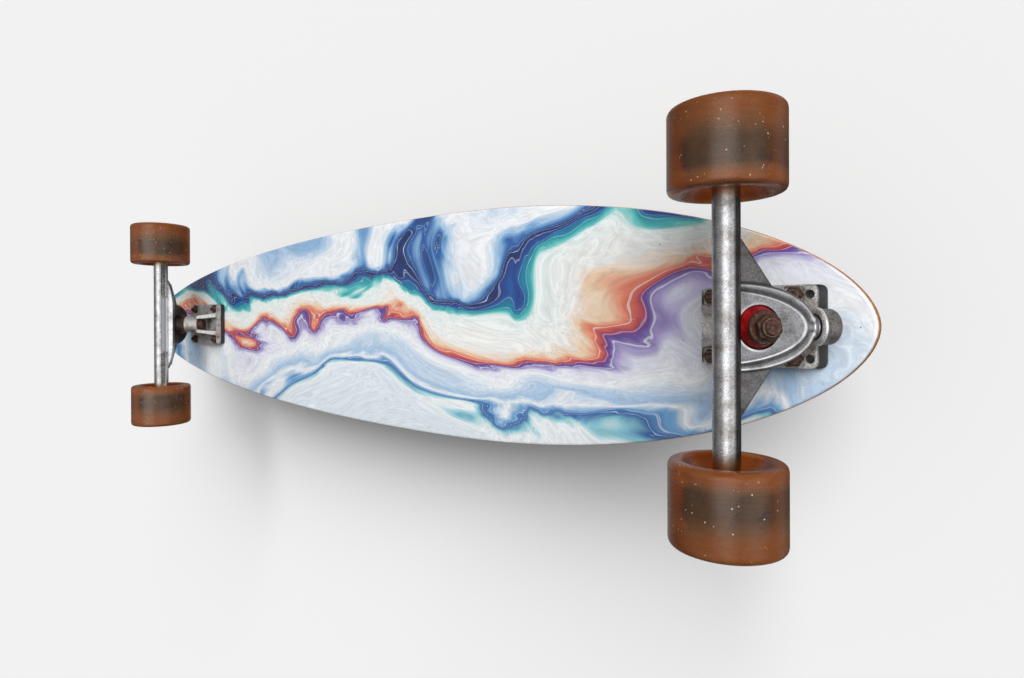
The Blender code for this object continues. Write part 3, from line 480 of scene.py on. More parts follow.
feed(shader, {"Base Color": wood, "Normal": bump})

# Print: a flow of poured inks on a pale ground, heat transferred and sealed under clear lacquer. Bands
# of like colour bend round each other; the lacquer is glossy, with dulled patches, scuffs and chips.
print_finish, tree, shader, place_in = finish_of(
    "ink print under clear lacquer", Coat_Weight=0.6, Coat_Roughness=0.12, Coat_IOR=1.5)

# The bands run at a slant along the board, stirred in wide, middling and small whirls.
flow = add(tree, "Mapping", {"Vector": place_in, "Rotation": (0, 0, math.radians(-17)),
                             "Scale": (0.62, 1.25, 1.0)})
for size, reach in ((190, 0.19), (62, 0.052), (19, 0.011)):
    stir = add(tree, "TexNoise", {"Vector": flow, "Scale": cells(size), "Detail": 1.5, "Roughness": 0.45})
    stir = add(tree, "VectorMath", {0: stir.outputs["Color"], 1: (0.5, 0.5, 0.5)}, operation="SUBTRACT")
    stir = add(tree, "VectorMath", {0: stir, "Scale": 2 * reach}, operation="SCALE")
    flow = add(tree, "VectorMath", {0: flow, 1: stir}, operation="ADD")
parts = add(tree, "SeparateXYZ", {0: flow})
along = add(tree, "Math", {0: parts.outputs["X"], 1: 0.95}, operation="MULTIPLY")
bands = add(tree, "Math", {0: parts.outputs["Y"], 1: 3.1, 2: along}, operation="MULTIPLY_ADD")
bands = add(tree, "Math", {0: bands, 1: 0.56}, operation="ADD")
inks = add(tree, "ValToRGB", {"Fac": bands}, stops=[
    (0.00, "#8fb6dc"), (1.00, "#e6f0f7"), (0.07, "#bcd3ec"), (0.13, "#eef4fa"), (0.19, "#f6f8fb"),
    (0.225, "#8dbbe2"), (0.25, "#2a62a8"), (0.275, "#14275e"), (0.30, "#1f4a98"), (0.32, "#0f8fa3"),
    (0.345, "#5cc9c4"), (0.365, "#eaf6f5"), (0.44, "#f7f6f2"), (0.485, "#f2d3b4"), (0.51, "#e8795a"),
    (0.53, "#b8434f"), (0.545, "#5b3f95"), (0.565, "#a99ad0"), (0.59, "#e4e6f4"), (0.66, "#f8fafc"),
    (0.73, "#cfe0f2"), (0.80, "#a9c9e8"), (0.84, "#f2f7fb"), (0.87, "#6fa8d8"), (0.895, "#2b5fa6"),
    (0.915, "#8fd0dc"), (0.94, "#f4f9fb")])

# Thin pale veins follow the bands, and the inks are mottled.
veins = add(tree, "Math", {0: bands, 1: 96.0}, operation="MULTIPLY")
veins = add(tree, "TexNoise", {"W": veins, "Scale": 1.0, "Detail": 3.0, "Roughness": 0.65},
            noise_dimensions="1D")
veins = add(tree, "ValToRGB", {"Fac": veins}, stops=[
    (0.42, 0.0), (0.60, 0.0), (0.66, 0.75), (0.70, 0.0)])
mottle = add(tree, "TexNoise", {"Vector": flow, "Scale": cells(5), "Detail": 5.0, "Roughness": 0.62})
mottle = add(tree, "ValToRGB", {"Fac": mottle}, stops=[(0.36, 0.80), (0.62, 1.0)])

# Fine scuffs run one way, in patches; some dark specks lie between them.
slanted = add(tree, "Mapping", {"Vector": place_in, "Rotation": (0, 0, math.radians(24)),
                                "Scale": (0.05, 1, 1)})
scuffs = add(tree, "TexNoise", {"Vector": slanted, "Scale": cells(0.9), "Detail": 2.0})
scuffs = add(tree, "ValToRGB", {"Fac": scuffs}, stops=[(0.70, 0.0), (0.74, 1.0)])
patch = add(tree, "TexNoise", {"Vector": place_in, "Scale": cells(46), "Detail": 4.0})
patch = add(tree, "ValToRGB", {"Fac": patch}, stops=[(0.50, 0.0), (0.62, 1.0)])
scuffs = add(tree, "Math", {0: scuffs, 1: patch}, operation="MULTIPLY")
pale_scuffs = add(tree, "Math", {0: scuffs, 1: 0.45}, operation="MULTIPLY")
specks = add(tree, "TexVoronoi", {"Vector": place_in, "Scale": cells(9)})
specks = add(tree, "ValToRGB", {"Fac": specks.outputs["Distance"]}, stops=[(0.045, 1.0), (0.06, 0.0)])
some = add(tree, "TexNoise", {"Vector": place_in, "Scale": cells(38), "Detail": 2.0})
some = add(tree, "ValToRGB", {"Fac": some}, stops=[(0.52, 0.0), (0.55, 0.9)])
specks = add(tree, "Math", {0: specks, 1: some}, operation="MULTIPLY")

# Round the rim the print is worn away in a ragged line, down to the wood.
from_rim = add(tree, "Attribute", attribute_name="from_rim").outputs["Fac"]
ragged = add(tree, "TexNoise", {"Vector": place_in, "Scale": cells(7), "Detail": 6.0, "Roughness": 0.7})
ragged = add(tree, "Math", {0: ragged, 1: 0.55}, operation="SUBTRACT")
ragged = add(tree, "Math", {0: ragged, 1: 4 * MM}, operation="MULTIPLY")
bare = add(tree, "Math", {0: from_rim, 1: ragged}, operation="SUBTRACT")
bare = add(tree, "Math", {0: bare, 1: PRINT_MARGIN}, operation="LESS_THAN")
rim_wood = add(tree, "ValToRGB", {"Fac": mottle}, stops=[(0.8, "#a57b60"), (1.0, "#d2b19a")])

for share, colour, blend in (
        (veins, paint("#f4f8fc"), "MIX"), (1.0, mottle, "MULTIPLY"),
        (pale_scuffs, paint("#dcdde0"), "MIX"), (specks, paint("#4a3a30"), "MIX"), (bare, rim_wood, "MIX")):
    inks = add(tree, "Mix", {"Factor": share, "A": inks, "B": colour}, data_type="RGBA",
               blend_type=blend)
dull = add(tree, "MapRange", {"Value": patch, "To Min": 0.24, "To Max": 0.4})
ripple = add(tree, "TexNoise", {"Vector": place_in, "Scale": cells(30), "Detail": 3.0})
ripple = add(tree, "Math", {0: scuffs, 1: -0.2, 2: ripple}, operation="MULTIPLY_ADD")
bump = add(tree, "Bump", {"Height": ripple, "Strength": 0.25, "Distance": 0.25 * MM})
feed(shader, {"Base Color": inks, "Roughness": dull, "Normal": bump, "Coat Normal": bump})

board.materials.append(print_finish)
board.materials.append(maple_finish)
for face in board.polygons:
    looks_down = face.normal.z < -0.6
    height = face.center.z - DECK_FACE_Z - rail_lift(face.center.y)
    face.material_index = 0 if looks_down and height < PRINT_RISE else 1
place("deck_board", board, print_finish, "root", ["deck"])


# Grip tape. Silicon carbide grit is glued on a black paper sheet, stuck to the deck's top and trimmed
# with a file, which leaves a grey edge.

GRIP_THICKNESS = 0.8 * MM
GRIP_MARGIN = 3 * MM
GRIP_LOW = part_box("grip_tape")[0].z

# Silicon carbide: sharp black grains in resin. Here and there one glints, and feet have greyed it.
grip_finish, tree, shader, place_in = finish_of("black silicon carbide grip", Roughness=0.9)
grit = add(tree, "TexVoronoi", {"Vector": place_in, "Scale": cells(0.9)})   # coarser than real, to show
facet = add(tree, "SeparateColor", {0: grit.outputs["Color"]}).outputs[0]
shade = add(tree, "ValToRGB", {"Fac": facet}, stops=[(0.0, "#0c0c0d"), (0.8, "#232325"), (1.0, "#4a4a4e")])
trodden = add(tree, "TexNoise", {"Vector": place_in, "Scale": cells(120), "Detail": 4.0})
trodden = add(tree, "ValToRGB", {"Fac": trodden}, stops=[(0.48, 0.0), (0.72, 0.4)])
shade = add(tree, "Mix", {"Factor": trodden, "A": shade, "B": paint("#3c3a38")}, data_type="RGBA")
glint = add(tree, "MapRange", {"Value": facet, "From Min": 0.8, "To Min": 0.92, "To Max": 0.45})
bump = add(tree, "Bump", {"Height": grit.outputs["Distance"], "Strength": 0.9, "Distance": 0.4 * MM})
feed(shader, {"Base Color": shade, "Roughness": glint, "Normal": bump})

grip = plank("grip_sheet", [(0, GRIP_LOW), (0, GRIP_LOW + GRIP_THICKNESS / 2),
                            (GRIP_THICKNESS / 2, GRIP_LOW + GRIP_THICKNESS)], GRIP_MARGIN, 30)
grip = worked(grip, holes, 30)
place("grip_sheet", grip, grip_finish, "root", ["grip_tape"])


# Riser pads. Black polyethylene pads, moulded with round corners, keep the wheels clear of the deck.

PLATE_INNER_END, PLATE_OUTER_END = -38.3 * MM, 36.2 * MM
PLATE_HALF_WIDTH, PLATE_CORNER = 27.0 * MM, 5 * MM
RISER_LOW, RISER_HIGH = -3.2 * MM, -0.3 * MM
RISER_INNER_END, RISER_OUTER_END = PLATE_INNER_END - 2.2 * MM, PLATE_OUTER_END + 4.3 * MM
BOLT_DRILL_RADIUS = 2.9 * MM

# Polyethylene: a waxy black plastic with a fine moulded texture, greyed by dust.
poly_finish, tree, shader, place_in = finish_of("black polyethylene", Roughness=0.5, IOR=1.51)
pebbles = add(tree, "TexNoise", {"Vector": place_in, "Scale": cells(0.7), "Detail": 3.0})
dust = add(tree, "TexNoise", {"Vector": place_in, "Scale": cells(11), "Detail": 6.0, "Roughness": 0.65})
dust = add(tree, "ValToRGB", {"Fac": dust}, stops=[(0.42, "#141416"), (0.66, "#2c2b2a"), (0.8, "#57514b")])
worn = add(tree, "MapRange", {"Value": pebbles, "To Min": 0.38, "To Max": 0.62})
bump = add(tree, "Bump", {"Height": pebbles, "Strength": 0.4, "Distance": 0.08 * MM})
feed(shader, {"Base Color": dust, "Roughness": worn, "Normal": bump})


def mirrored(half):
    """Half of an outline, points of (x, y) or (x, y, rounding), and then its mirror image across y = 0."""
    return [*half, *((x, -y, *rest) for x, y, *rest in reversed(half))]


def plate_outline(low, high, half_width, corner):
    """A plate's outline with round corners."""
    return rounded(mirrored([(high, half_width, corner), (low, half_width, corner)]), 8)


def eased(mesh, width=0.35 * MM):
    """The mesh with its sharp edges broken."""
    return after(mesh, [("BEVEL", {"width": width, "segments": 2, "angle_limit": math.radians(50)})])


def bolt_cuts(tool, rows):
    """Cuts with one tool at each bolt of a truck, in the truck frame."""
    return [cut(tool, Matrix.Translation((x, side * BOLTS_ACROSS / 2, 0)))
            for x in rows for side in (1, -1)]


drill = bar("drill", BOLT_DRILL_RADIUS, -25 * MM, THROUGH, 24)
riser_outline = plate_outline(RISER_INNER_END, RISER_OUTER_END, PLATE_HALF_WIDTH, PLATE_CORNER)
riser = slab("riser_pad_moulding", riser_outline, RISER_LOW, RISER_HIGH)
riser = worked(eased(riser), bolt_cuts(drill, BOLT_ROWS.values()))
for end, truck in TRUCKS.items():
    place(f"{end}_riser_moulding", riser, poly_finish, "root",
          [f"{end}_riser_pad"], truck)


# Baseplates. Each is a sand-textured aluminium casting: a plate with sunk nut seats, a slanted boss for
# the kingpin between two ribs, a slot for the kingpin's head, and a round housing for the pivot cup.

STEER_ANGLE = math.radians(45)
RING_AT = {joint["child"]: Vector(joint["pos_m"]) for joint in frame["joints"]}["front_hanger"]
RING_X, RING_DROP = RING_AT.x - FRONT_TRUCK_X, DECK_FACE_Z - RING_AT.z
STEERING = Matrix.Translation((RING_X, 0, -RING_DROP)) @ Matrix.Rotation(-STEER_ANGLE, 4, "Y")
ALONG_STEERING = Matrix.Rotation(math.radians(90), 4, "Y")      # lays a turned piece along +X
ACROSS = Matrix.Rotation(math.radians(-90), 4, "X")             # lays a turned piece along +Y
PLATE_TOP, PLATE_BOTTOM, PLATE_INSIDE = -3.5 * MM, -9.5 * MM, -6.5 * MM
NUT_SEAT_Z = -7.0 * MM
SPARE_ROW_X = 31.75 * MM
BOSS_RADIUS = 11.2 * MM
BOSS_FACE, KINGPIN_SEAT = 15.3 * MM, 32.0 * MM        # along the kingpin, from the hanger's ring
BOSS_ROOT = (RING_DROP + PLATE_INSIDE) / math.cos(STEER_ANGLE) - BOSS_RADIUS * math.tan(STEER_ANGLE)
RIB_HALF_WIDTH, WEB_HALF_WIDTH, SLOT_HALF_WIDTH = 11.4 * MM, 8.0 * MM, 7.45 * MM
SLOT_NEAR, SLOT_FAR = 8.86 * MM, -29 * MM       # along the truck, square to the kingpin
NUT_POCKET_HALF_LENGTH, NUT_POCKET_HALF_WIDTH, NUT_POCKET_CORNER = 6.3 * MM, 5.55 * MM, 2.2 * MM
HOUSING_RADIUS, PIVOT_MOUTH, HOUSING_END = 11.6 * MM, 39.2 * MM, 52.4 * MM
CUP_RADIUS, CUP_DEPTH = 8.0 * MM, 7.8 * MM
KINGPIN_RADIUS = 4.76 * MM
CLEARANCE = 0.3 * MM            # between parts that go into each other
FAR_OUT = 60 * MM               # beyond the plate's ends, for cutters
CASTING_GRAIN = 0.55 * MM       # voxels that the casting's parts are fused in

# Cast aluminium: shot-blasted and left bare. It is light grey with a fine pebbled skin, and browner in
# patches, where road dirt stays. Painted shade darkens the pivot housing, and a painted highlight rings its
# mouth.
cast_finish, tree, shader, place_in = finish_of("shot-blasted cast aluminium", Metallic=0.55)
pebble = add(tree, "TexVoronoi", {"Vector": place_in, "Scale": cells(0.75)})
skin = add(tree, "TexNoise", {"Vector": place_in, "Scale": cells(1.1), "Detail": 5.0, "Roughness": 0.65})
cloud = add(tree, "TexNoise", {"Vector": place_in, "Scale": cells(9), "Detail": 5.0, "Roughness": 0.6})
dirt = add(tree, "ValToRGB", {"Fac": cloud}, stops=[(0.46, "#ffffff"), (0.72, "#978a80")])
from_ring = add(tree, "VectorMath", {0: place_in, 1: STEERING.translation}, operation="SUBTRACT")
pivot_axis = STEERING.to_3x3() @ Vector((1, 0, 0))
along = add(tree, "VectorMath", {0: from_ring, 1: pivot_axis}, operation="DOT_PRODUCT").outputs["Value"]
off_axis = add(tree, "VectorMath", {0: from_ring, 1: pivot_axis}, operation="CROSS_PRODUCT")
off_axis = add(tree, "VectorMath", {0: off_axis}, operation="LENGTH").outputs["Value"]
on_housing = add(tree, "MapRange", {"Value": off_axis, "From Min": HOUSING_RADIUS + 2.2 * MM,
                                    "From Max": HOUSING_RADIUS + 1.4 * MM})
# Painted highlight: a bright, smoother ring round the pivot housing's mouth.
mouth_highlight = add(tree, "MapRange", {"Value": along, "From Min": PIVOT_MOUTH + 1.8 * MM,
                                  "From Max": PIVOT_MOUTH + 1.2 * MM})
mouth_highlight = add(tree, "Math", {0: mouth_highlight, 1: on_housing}, operation="MULTIPLY")
tone = add(tree, "ValToRGB", {"Fac": skin},
           stops=[(0.33, "#85817e"), (0.46, "#b0adaa"), (0.60, "#cbc9c6"), (0.75, "#e1dfdd")])
# Painted shade darkens the pivot housing, and the painted highlight ring lies at its mouth.
for share, colour, blend in ((1.0, dirt, "MULTIPLY"), (on_housing, paint("#a8a6a5"), "MULTIPLY"),
                             (mouth_highlight, paint("#ededed"), "MIX")):
    tone = add(tree, "Mix", {"Factor": share, "A": tone, "B": colour}, data_type="RGBA",
               blend_type=blend)
rough = add(tree, "MapRange", {"Value": skin, "To Min": 0.62, "To Max": 0.34})
rough = add(tree, "Math", {0: mouth_highlight, 1: -0.2, 2: rough}, operation="MULTIPLY_ADD")
relief = add(tree, "Math", {0: skin, 1: 0.6, 2: pebble}, operation="MULTIPLY_ADD")
bump = add(tree, "Bump", {"Height": relief, "Strength": 0.55, "Distance": 0.12 * MM})
feed(shader, {"Base Color": tone, "Roughness": rough, "Normal": bump})


def in_truck(x, z):
    """A point of the steering frame's side view as (x, z) in the truck frame."""
    point = STEERING @ Vector((x, 0, z))
    return point.x, point.z


def fused(name, parts, voxel, smoothings):
    """Parts that overlap, as one skin with its edges and inner corners softened as a casting's are."""
    return after(joined(name, parts), [
        ("REMESH", {"mode": "VOXEL", "voxel_size": voxel, "use_smooth_shade": True}),
        ("SMOOTH", {"factor": 0.5, "iterations": smoothings})])


plate = slab("plate", plate_outline(PLATE_INNER_END, PLATE_OUTER_END, PLATE_HALF_WIDTH, PLATE_CORNER),
             PLATE_BOTTOM, PLATE_TOP)
behind_boss = in_truck(0, KINGPIN_SEAT)
ribs = slab("ribs", [
    (PLATE_INNER_END, PLATE_INSIDE), (PLATE_INNER_END, PLATE_BOTTOM - 2 * MM),
    in_truck(1 * MM - BOSS_RADIUS, BOSS_FACE + 16 * MM), behind_boss, (behind_boss[0], PLATE_INSIDE)],
    -RIB_HALF_WIDTH, RIB_HALF_WIDTH, upright=True)
for vertex in ribs.vertices:        # they flare towards the plate's inboard end
    if vertex.co.x < PLATE_INNER_END + SAME_POINT:
        vertex.co.y *= 1.35
end_wall = slab("end_wall", [(PLATE_INNER_END, PLATE_INSIDE), (PLATE_INNER_END, PLATE_BOTTOM - 1.6 * MM),
                             (PLATE_INNER_END + 5 * MM, PLATE_BOTTOM - 1.0 * MM),
                             (PLATE_INNER_END + 7 * MM, PLATE_INSIDE)],
                -PLATE_HALF_WIDTH + 1.5 * MM, PLATE_HALF_WIDTH - 1.5 * MM, upright=True)
boss = turned("boss", rounded([(0, BOSS_FACE, 0), (BOSS_RADIUS, BOSS_FACE, 1.2 * MM),
                               (BOSS_RADIUS, BOSS_ROOT, 0), (0, BOSS_ROOT, 0)]))
housing = turned("housing", rounded([
    (0, PIVOT_MOUTH, 0), (HOUSING_RADIUS + 0.6 * MM, PIVOT_MOUTH, 1.0 * MM),
    (HOUSING_RADIUS + 0.6 * MM, PIVOT_MOUTH + 2.6 * MM, 1.0 * MM),
    (HOUSING_RADIUS - 0.2 * MM, PIVOT_MOUTH + 3.6 * MM, 0.8 * MM),
    (HOUSING_RADIUS - 0.2 * MM, HOUSING_END, 4.6 * MM), (0, HOUSING_END, 0)], 8))
peak, foot = in_truck(BOSS_RADIUS - 1 * MM, BOSS_FACE + 1 * MM), in_truck(PIVOT_MOUTH + 2 * MM, 10 * MM)
web = slab("web", [(behind_boss[0], PLATE_INSIDE), peak, foot, (foot[0], PLATE_INSIDE)],
           -WEB_HALF_WIDTH, WEB_HALF_WIDTH, upright=True)
casting = fused("baseplate_casting", [
    (plate, Matrix()), (ribs, Matrix()), (end_wall, Matrix()), (boss, STEERING), (web, Matrix()),
    (housing, STEERING @ ALONG_STEERING)], CASTING_GRAIN, 7)
above = slab("above", plate_outline(-FAR_OUT, FAR_OUT, FAR_OUT, 0), PLATE_TOP, FAR_OUT)
near, far = in_truck(SLOT_NEAR, KINGPIN_SEAT), in_truck(SLOT_FAR, KINGPIN_SEAT)
slot_floor = PLATE_BOTTOM - 1.0 * MM
slot = slab("slot", [near, far, (-FAR_OUT, far[1]), (-FAR_OUT, slot_floor),
                     (near[0] - (slot_floor - near[1]) * math.tan(STEER_ANGLE), slot_floor)],
            -SLOT_HALF_WIDTH, SLOT_HALF_WIDTH, upright=True)
for vertex in slot.vertices:        # it flares towards its open end
    if vertex.co.x < SAME_POINT - FAR_OUT:
        vertex.co.y *= 1.5
pocket_outline = plate_outline(-NUT_POCKET_HALF_LENGTH, NUT_POCKET_HALF_LENGTH, NUT_POCKET_HALF_WIDTH,
                               NUT_POCKET_CORNER)
pocket = slab("nut_pocket", pocket_outline, -FAR_OUT / 2, NUT_SEAT_Z)
kingpin_bore = bar("kingpin_bore", KINGPIN_RADIUS + CLEARANCE, BOSS_FACE - THROUGH,
                   KINGPIN_SEAT + 4 * MM)
cup_bore = bar("cup_bore", CUP_RADIUS + CLEARANCE, PIVOT_MOUTH - THROUGH,
               PIVOT_MOUTH + CUP_DEPTH + CLEARANCE)
casting = worked(casting, [
    cut(above), cut(slot), cut(kingpin_bore, STEERING), cut(cup_bore, STEERING @ ALONG_STEERING),
    *bolt_cuts(pocket, BOLT_ROWS.values()), *bolt_cuts(drill, [*BOLT_ROWS.values(), SPARE_ROW_X])])
for end, truck in TRUCKS.items():
    place(f"{end}_baseplate_casting", casting, cast_finish, "root",
          [f"{end}_baseplate"], truck)


# Mounting hardware. Countersunk steel bolts with a cross recess go down through deck, riser and plate
# into lock nuts with a nylon collar. The zinc has gone and they have rusted brown.

BOLT_RADIUS, BOLT_LENGTH, BOLT_PITCH = 2.4 * MM, 26.0 * MM, 0.8 * MM
BOLT_HEAD_RADIUS, BOLT_HEAD_HEIGHT = 4.6 * MM, 2.6 * MM
RECESS_REACH, RECESS_HALF_WIDTH, RECESS_DEPTH = 2.3 * MM, 0.45 * MM, 1.5 * MM
MOUNT_NUT_FLATS, MOUNT_NUT_HEIGHT = 9.5 * MM, 4.8 * MM

# Rusted steel: zinc plate worn through, with brown scale, orange bloom and a few bright scrapes.
rust_finish, tree, shader, place_in = finish_of("rusted zinc-plated steel")
scale = add(tree, "TexNoise", {"Vector": place_in, "Scale": cells(2.2), "Detail": 8.0, "Roughness": 0.7})
bloom = add(tree, "TexNoise", {"Vector": place_in, "Scale": cells(5), "Detail": 4.0})
tone = add(tree, "ValToRGB", {"Fac": scale}, stops=[
    (0.34, "#1c120e"), (0.46, "#3a2720"), (0.56, "#573e33"), (0.63, "#7d6152"), (0.72, "#c4ab96")])
warm = add(tree, "ValToRGB", {"Fac": bloom}, stops=[(0.5, 0.0), (0.7, 0.4)])
tone = add(tree, "Mix", {"Factor": warm, "A": tone, "B": paint("#6e3c20")}, data_type="RGBA")
bright = add(tree, "ValToRGB", {"Fac": scale}, stops=[(0.52, 0.15), (0.62, 0.9)])
rough = add(tree, "MapRange", {"Value": bright, "To Min": 0.68, "To Max": 0.34})
bump = add(tree, "Bump", {"Height": scale, "Strength": 0.5, "Distance": 0.15 * MM})
feed(shader, {"Base Color": tone, "Metallic": bright, "Roughness": rough, "Normal": bump})

# Nylon collar: moulded, once white, stained by oil and rust.
nylon_finish, tree, shader, place_in = finish_of(
    "stained nylon", Roughness=0.45, Subsurface_Weight=0.2, Subsurface_Scale=0.001)
stain = add(tree, "TexNoise", {"Vector": place_in, "Scale": cells(2.5), "Detail": 5.0})
tone = add(tree, "ValToRGB", {"Fac": stain}, stops=[(0.35, "#4f3b2c"), (0.6, "#8d7a66"), (0.8, "#c3b8a6")])
feed(shader, {"Base Color": tone})


def stacked(name, rings, sharp_over=38):
    """A closed skin over rings of equally many points."""
    bm = bmesh.new()
    loops = [[bm.verts.new(point) for point in ring] for ring in rings]
    skin_between(bm, loops)
    bm.faces.new(loops[0])
    bm.faces.new(loops[-1])
    return solid_from(bm, name, sharp_over)


def threaded(name, radius, low, high, pitch, plain=None, sides=36):
    """A rod about Z with chamfered ends and a rolled thread, but for a plain stretch (from, to)."""
    row_height = pitch / 8
    heights = [low + row_height * row for row in range(int((high - low) / row_height))] + [high]
    if plain:
        heights = [z for z in heights if not plain[0] < z < plain[1]]
    rings = []
    for z in heights:
        depth = 0.0 if plain and plain[0] <= z <= plain[1] else 0.55 * pitch
        chamfer = 0.6 * pitch - min(z - low, high - z)
        ring = []
        for side in range(sides):
            wave = abs(((z / pitch - side / sides) % 1.0) * 2 - 1)
            reach = radius - max(depth * max(0, 1 - 1.25 * wave), chamfer, 0.0)
            turn = math.tau * side / sides
            ring.append((reach * math.cos(turn), reach * math.sin(turn), z))
        rings.append(ring)
    return stacked(name, rings, 50)


def hexagon(flats):
    """A hexagon's outline, two of its flats facing Y."""
    corner = flats / math.sqrt(3)
    turns = [math.radians(60 * step) for step in range(6)]
    return [(corner * math.cos(turn), corner * math.sin(turn)) for turn in turns]


def lock_nut(name, flats, height, bore):
    """A nut that sits at height 0 and hangs below it, and the nylon ring in its collar."""
    hex_height, outer, corner = 0.70 * height, flats / 2, flats / math.sqrt(3)
    face, collar_radius = 0.97 * outer, 0.88 * outer
    drop = (corner - face) * math.tan(math.radians(30))
    block = slab(name, hexagon(flats), -hex_height, 0)
    chamfer = turned("chamfer", [(0, 0), (face, 0), (corner, -drop), (corner, drop - hex_height),
                                 (face, -hex_height), (0, -hex_height)])
    collar = turned("collar", rounded([
        (0, -0.5 * hex_height, 0), (collar_radius, -0.5 * hex_height, 0),
        (collar_radius, -height, 0.16 * outer), (0, -height, 0)]))
    lining = (bore + collar_radius) / 2
    mouth = bar("mouth", lining, -height - THROUGH, -height + 0.22 * height)
    hollow = bar("hollow", bore, -height - THROUGH, THROUGH)
    metal = worked(block, [("INTERSECT", chamfer, Matrix()), ("UNION", collar, Matrix()), cut(mouth),
                           cut(hollow)])
    lining -= 0.04 * MM         # it doesn't touch the collar
    nylon = turned(name + "_nylon", rounded([
        (bore, -0.80 * height, 0), (lining, -0.80 * height, 0),
        (lining, -0.97 * height, 0.1 * MM), (bore, -0.97 * height, 0.2 * MM)], 3))
    return metal, nylon


bolt_rod = threaded("bolt_rod", BOLT_RADIUS, -BOLT_LENGTH, -BOLT_HEAD_HEIGHT + 0.4 * MM, BOLT_PITCH)
bolt_head = turned("bolt_head", rounded([
    (0, -BOLT_HEAD_HEIGHT, 0), (BOLT_RADIUS, -BOLT_HEAD_HEIGHT, 0), (BOLT_HEAD_RADIUS, -0.3 * MM, 0.1 * MM),
    (BOLT_HEAD_RADIUS, 0, 0.1 * MM), (0, 0, 0)], 2), 40)
arm = mirrored([(-RECESS_REACH, -RECESS_HALF_WIDTH), (RECESS_REACH, -RECESS_HALF_WIDTH)])
recess = slab("recess_arm", arm, -RECESS_DEPTH, THROUGH)
bolt = worked(bolt_head, [cut(recess), cut(recess, Matrix.Rotation(math.radians(90), 4, "Z")),
                          ("UNION", bolt_rod, Matrix())])
mount_nut, mount_nylon = lock_nut("mounting_nut", MOUNT_NUT_FLATS, MOUNT_NUT_HEIGHT, BOLT_RADIUS + 0.1 * MM)
nut_seat = Matrix.Translation((0, 0, NUT_SEAT_Z - CLEARANCE))
for count, (label, spot) in enumerate(bolt_places()):
    twist = Matrix.Rotation(math.radians(17 * count), 4, "Z")      # no two recesses lie alike
    place(f"{label}_machine_bolt", bolt, rust_finish, "root", [f"{label}_bolt"],
          spot @ RAISED_TOP @ twist)
    place(f"{label}_lock_nut", mount_nut, rust_finish, "root", [f"{label}_nut"],
          spot @ nut_seat)
    place(f"{label}_nylon_ring", mount_nylon, nylon_finish, "root", (), spot @ nut_seat)


# Pivot cups. A black urethane cup is pressed into each housing, and the hanger's nose turns in it.

PIVOT_TIP_RADIUS, PIVOT_TIP_CENTRE = 5.2 * MM, 40.0 * MM

# Cast urethane: black, smooth and slightly waxy, browned by a bloom of dust.
rubber_finish, tree, shader, place_in = finish_of("black urethane", Roughness=0.42, IOR=1.5)
bloom = add(tree, "TexNoise", {"Vector": place_in, "Scale": cells(4), "Detail": 5.0})
tone = add(tree, "ValToRGB", {"Fac": bloom}, stops=[(0.35, "#120d0b"), (0.6, "#2b1d17"), (0.8, "#5b4637")])
bump = add(tree, "Bump", {"Height": bloom, "Strength": 0.2, "Distance": 0.1 * MM})
feed(shader, {"Base Color": tone, "Normal": bump})


def pivot_tip(radius):
    """The round tip of the hanger's nose as (radius, height) points, from its side to its end."""
    turns = [math.radians(9 * step) for step in range(11)]
    return [(radius * math.cos(turn), PIVOT_TIP_CENTRE + radius * math.sin(turn)) for turn in turns]


cup_low, cup_high = PIVOT_MOUTH + CLEARANCE, PIVOT_MOUTH + CUP_DEPTH
inner = PIVOT_TIP_RADIUS + CLEARANCE
cup = turned("pivot_cup_moulding", rounded([
    (inner + 0.8 * MM, cup_low, 0), (CUP_RADIUS, cup_low, 0.5 * MM), (CUP_RADIUS, cup_high, 0.5 * MM),
    (0, cup_high, 0)]) + pivot_tip(inner)[::-1])
for end, truck in TRUCKS.items():
    place(f"{end}_pivot_cup_moulding", cup, rubber_finish, "root",
          [f"{end}_pivot_cup"], truck @ STEERING @ ALONG_STEERING)


# Kingpins. A 3/8 inch bolt is dropped into each boss with its hexagon head in the slot. It carries two
# bushings with a cupped washer at the end of each, and a lock nut; all its steel has rusted.

KINGPIN_HEAD_HEIGHT, KINGPIN_FLATS = 6.3 * MM, 14.3 * MM
KINGPIN_END, KINGPIN_PLAIN_TO, KINGPIN_PITCH = -22.3 * MM, -11.0 * MM, 1.06 * MM
KINGPIN_NUT_SEAT, KINGPIN_NUT_HEIGHT = -13.7 * MM, 6.8 * MM
KINGPIN_NUT_TURN = 0.35         # in radians
head_top = KINGPIN_SEAT + KINGPIN_HEAD_HEIGHT
head = slab("kingpin_head", hexagon(KINGPIN_FLATS), KINGPIN_SEAT, head_top)
corner = KINGPIN_FLATS / math.sqrt(3)
trim = turned("trim", [(0, KINGPIN_SEAT), (corner, KINGPIN_SEAT), (corner, head_top - 0.9 * MM),
                       (0.46 * KINGPIN_FLATS, head_top), (0, head_top)])
shank = threaded("shank", KINGPIN_RADIUS, KINGPIN_END, KINGPIN_SEAT + 1 * MM, KINGPIN_PITCH,
                 (KINGPIN_PLAIN_TO, KINGPIN_SEAT))
kingpin = worked(head, [("INTERSECT", trim, Matrix()), ("UNION", shank, Matrix())])
kingpin_nut, kingpin_nylon = lock_nut("kingpin_nut", KINGPIN_FLATS, KINGPIN_NUT_HEIGHT,
                                      KINGPIN_RADIUS + 0.08 * MM)


def cupped_washer(name, radius, flat, lip):
    """A pressed washer about Z, flat on its bushing at one height; its rim bends over it by lip."""
    outwards = math.copysign(1, flat)
    rim, back = flat - outwards * lip, flat + outwards * 1.5 * MM
    return turned(name, rounded([
        (KINGPIN_RADIUS + CLEARANCE, flat, 0), (radius - 2.0 * MM, flat, 0.3 * MM),
        (radius - 0.9 * MM, rim, 0.3 * MM), (radius, rim, 0.3 * MM),
        (radius - 0.4 * MM, back, 0.8 * MM), (KINGPIN_RADIUS + CLEARANCE, back, 0)], 4))


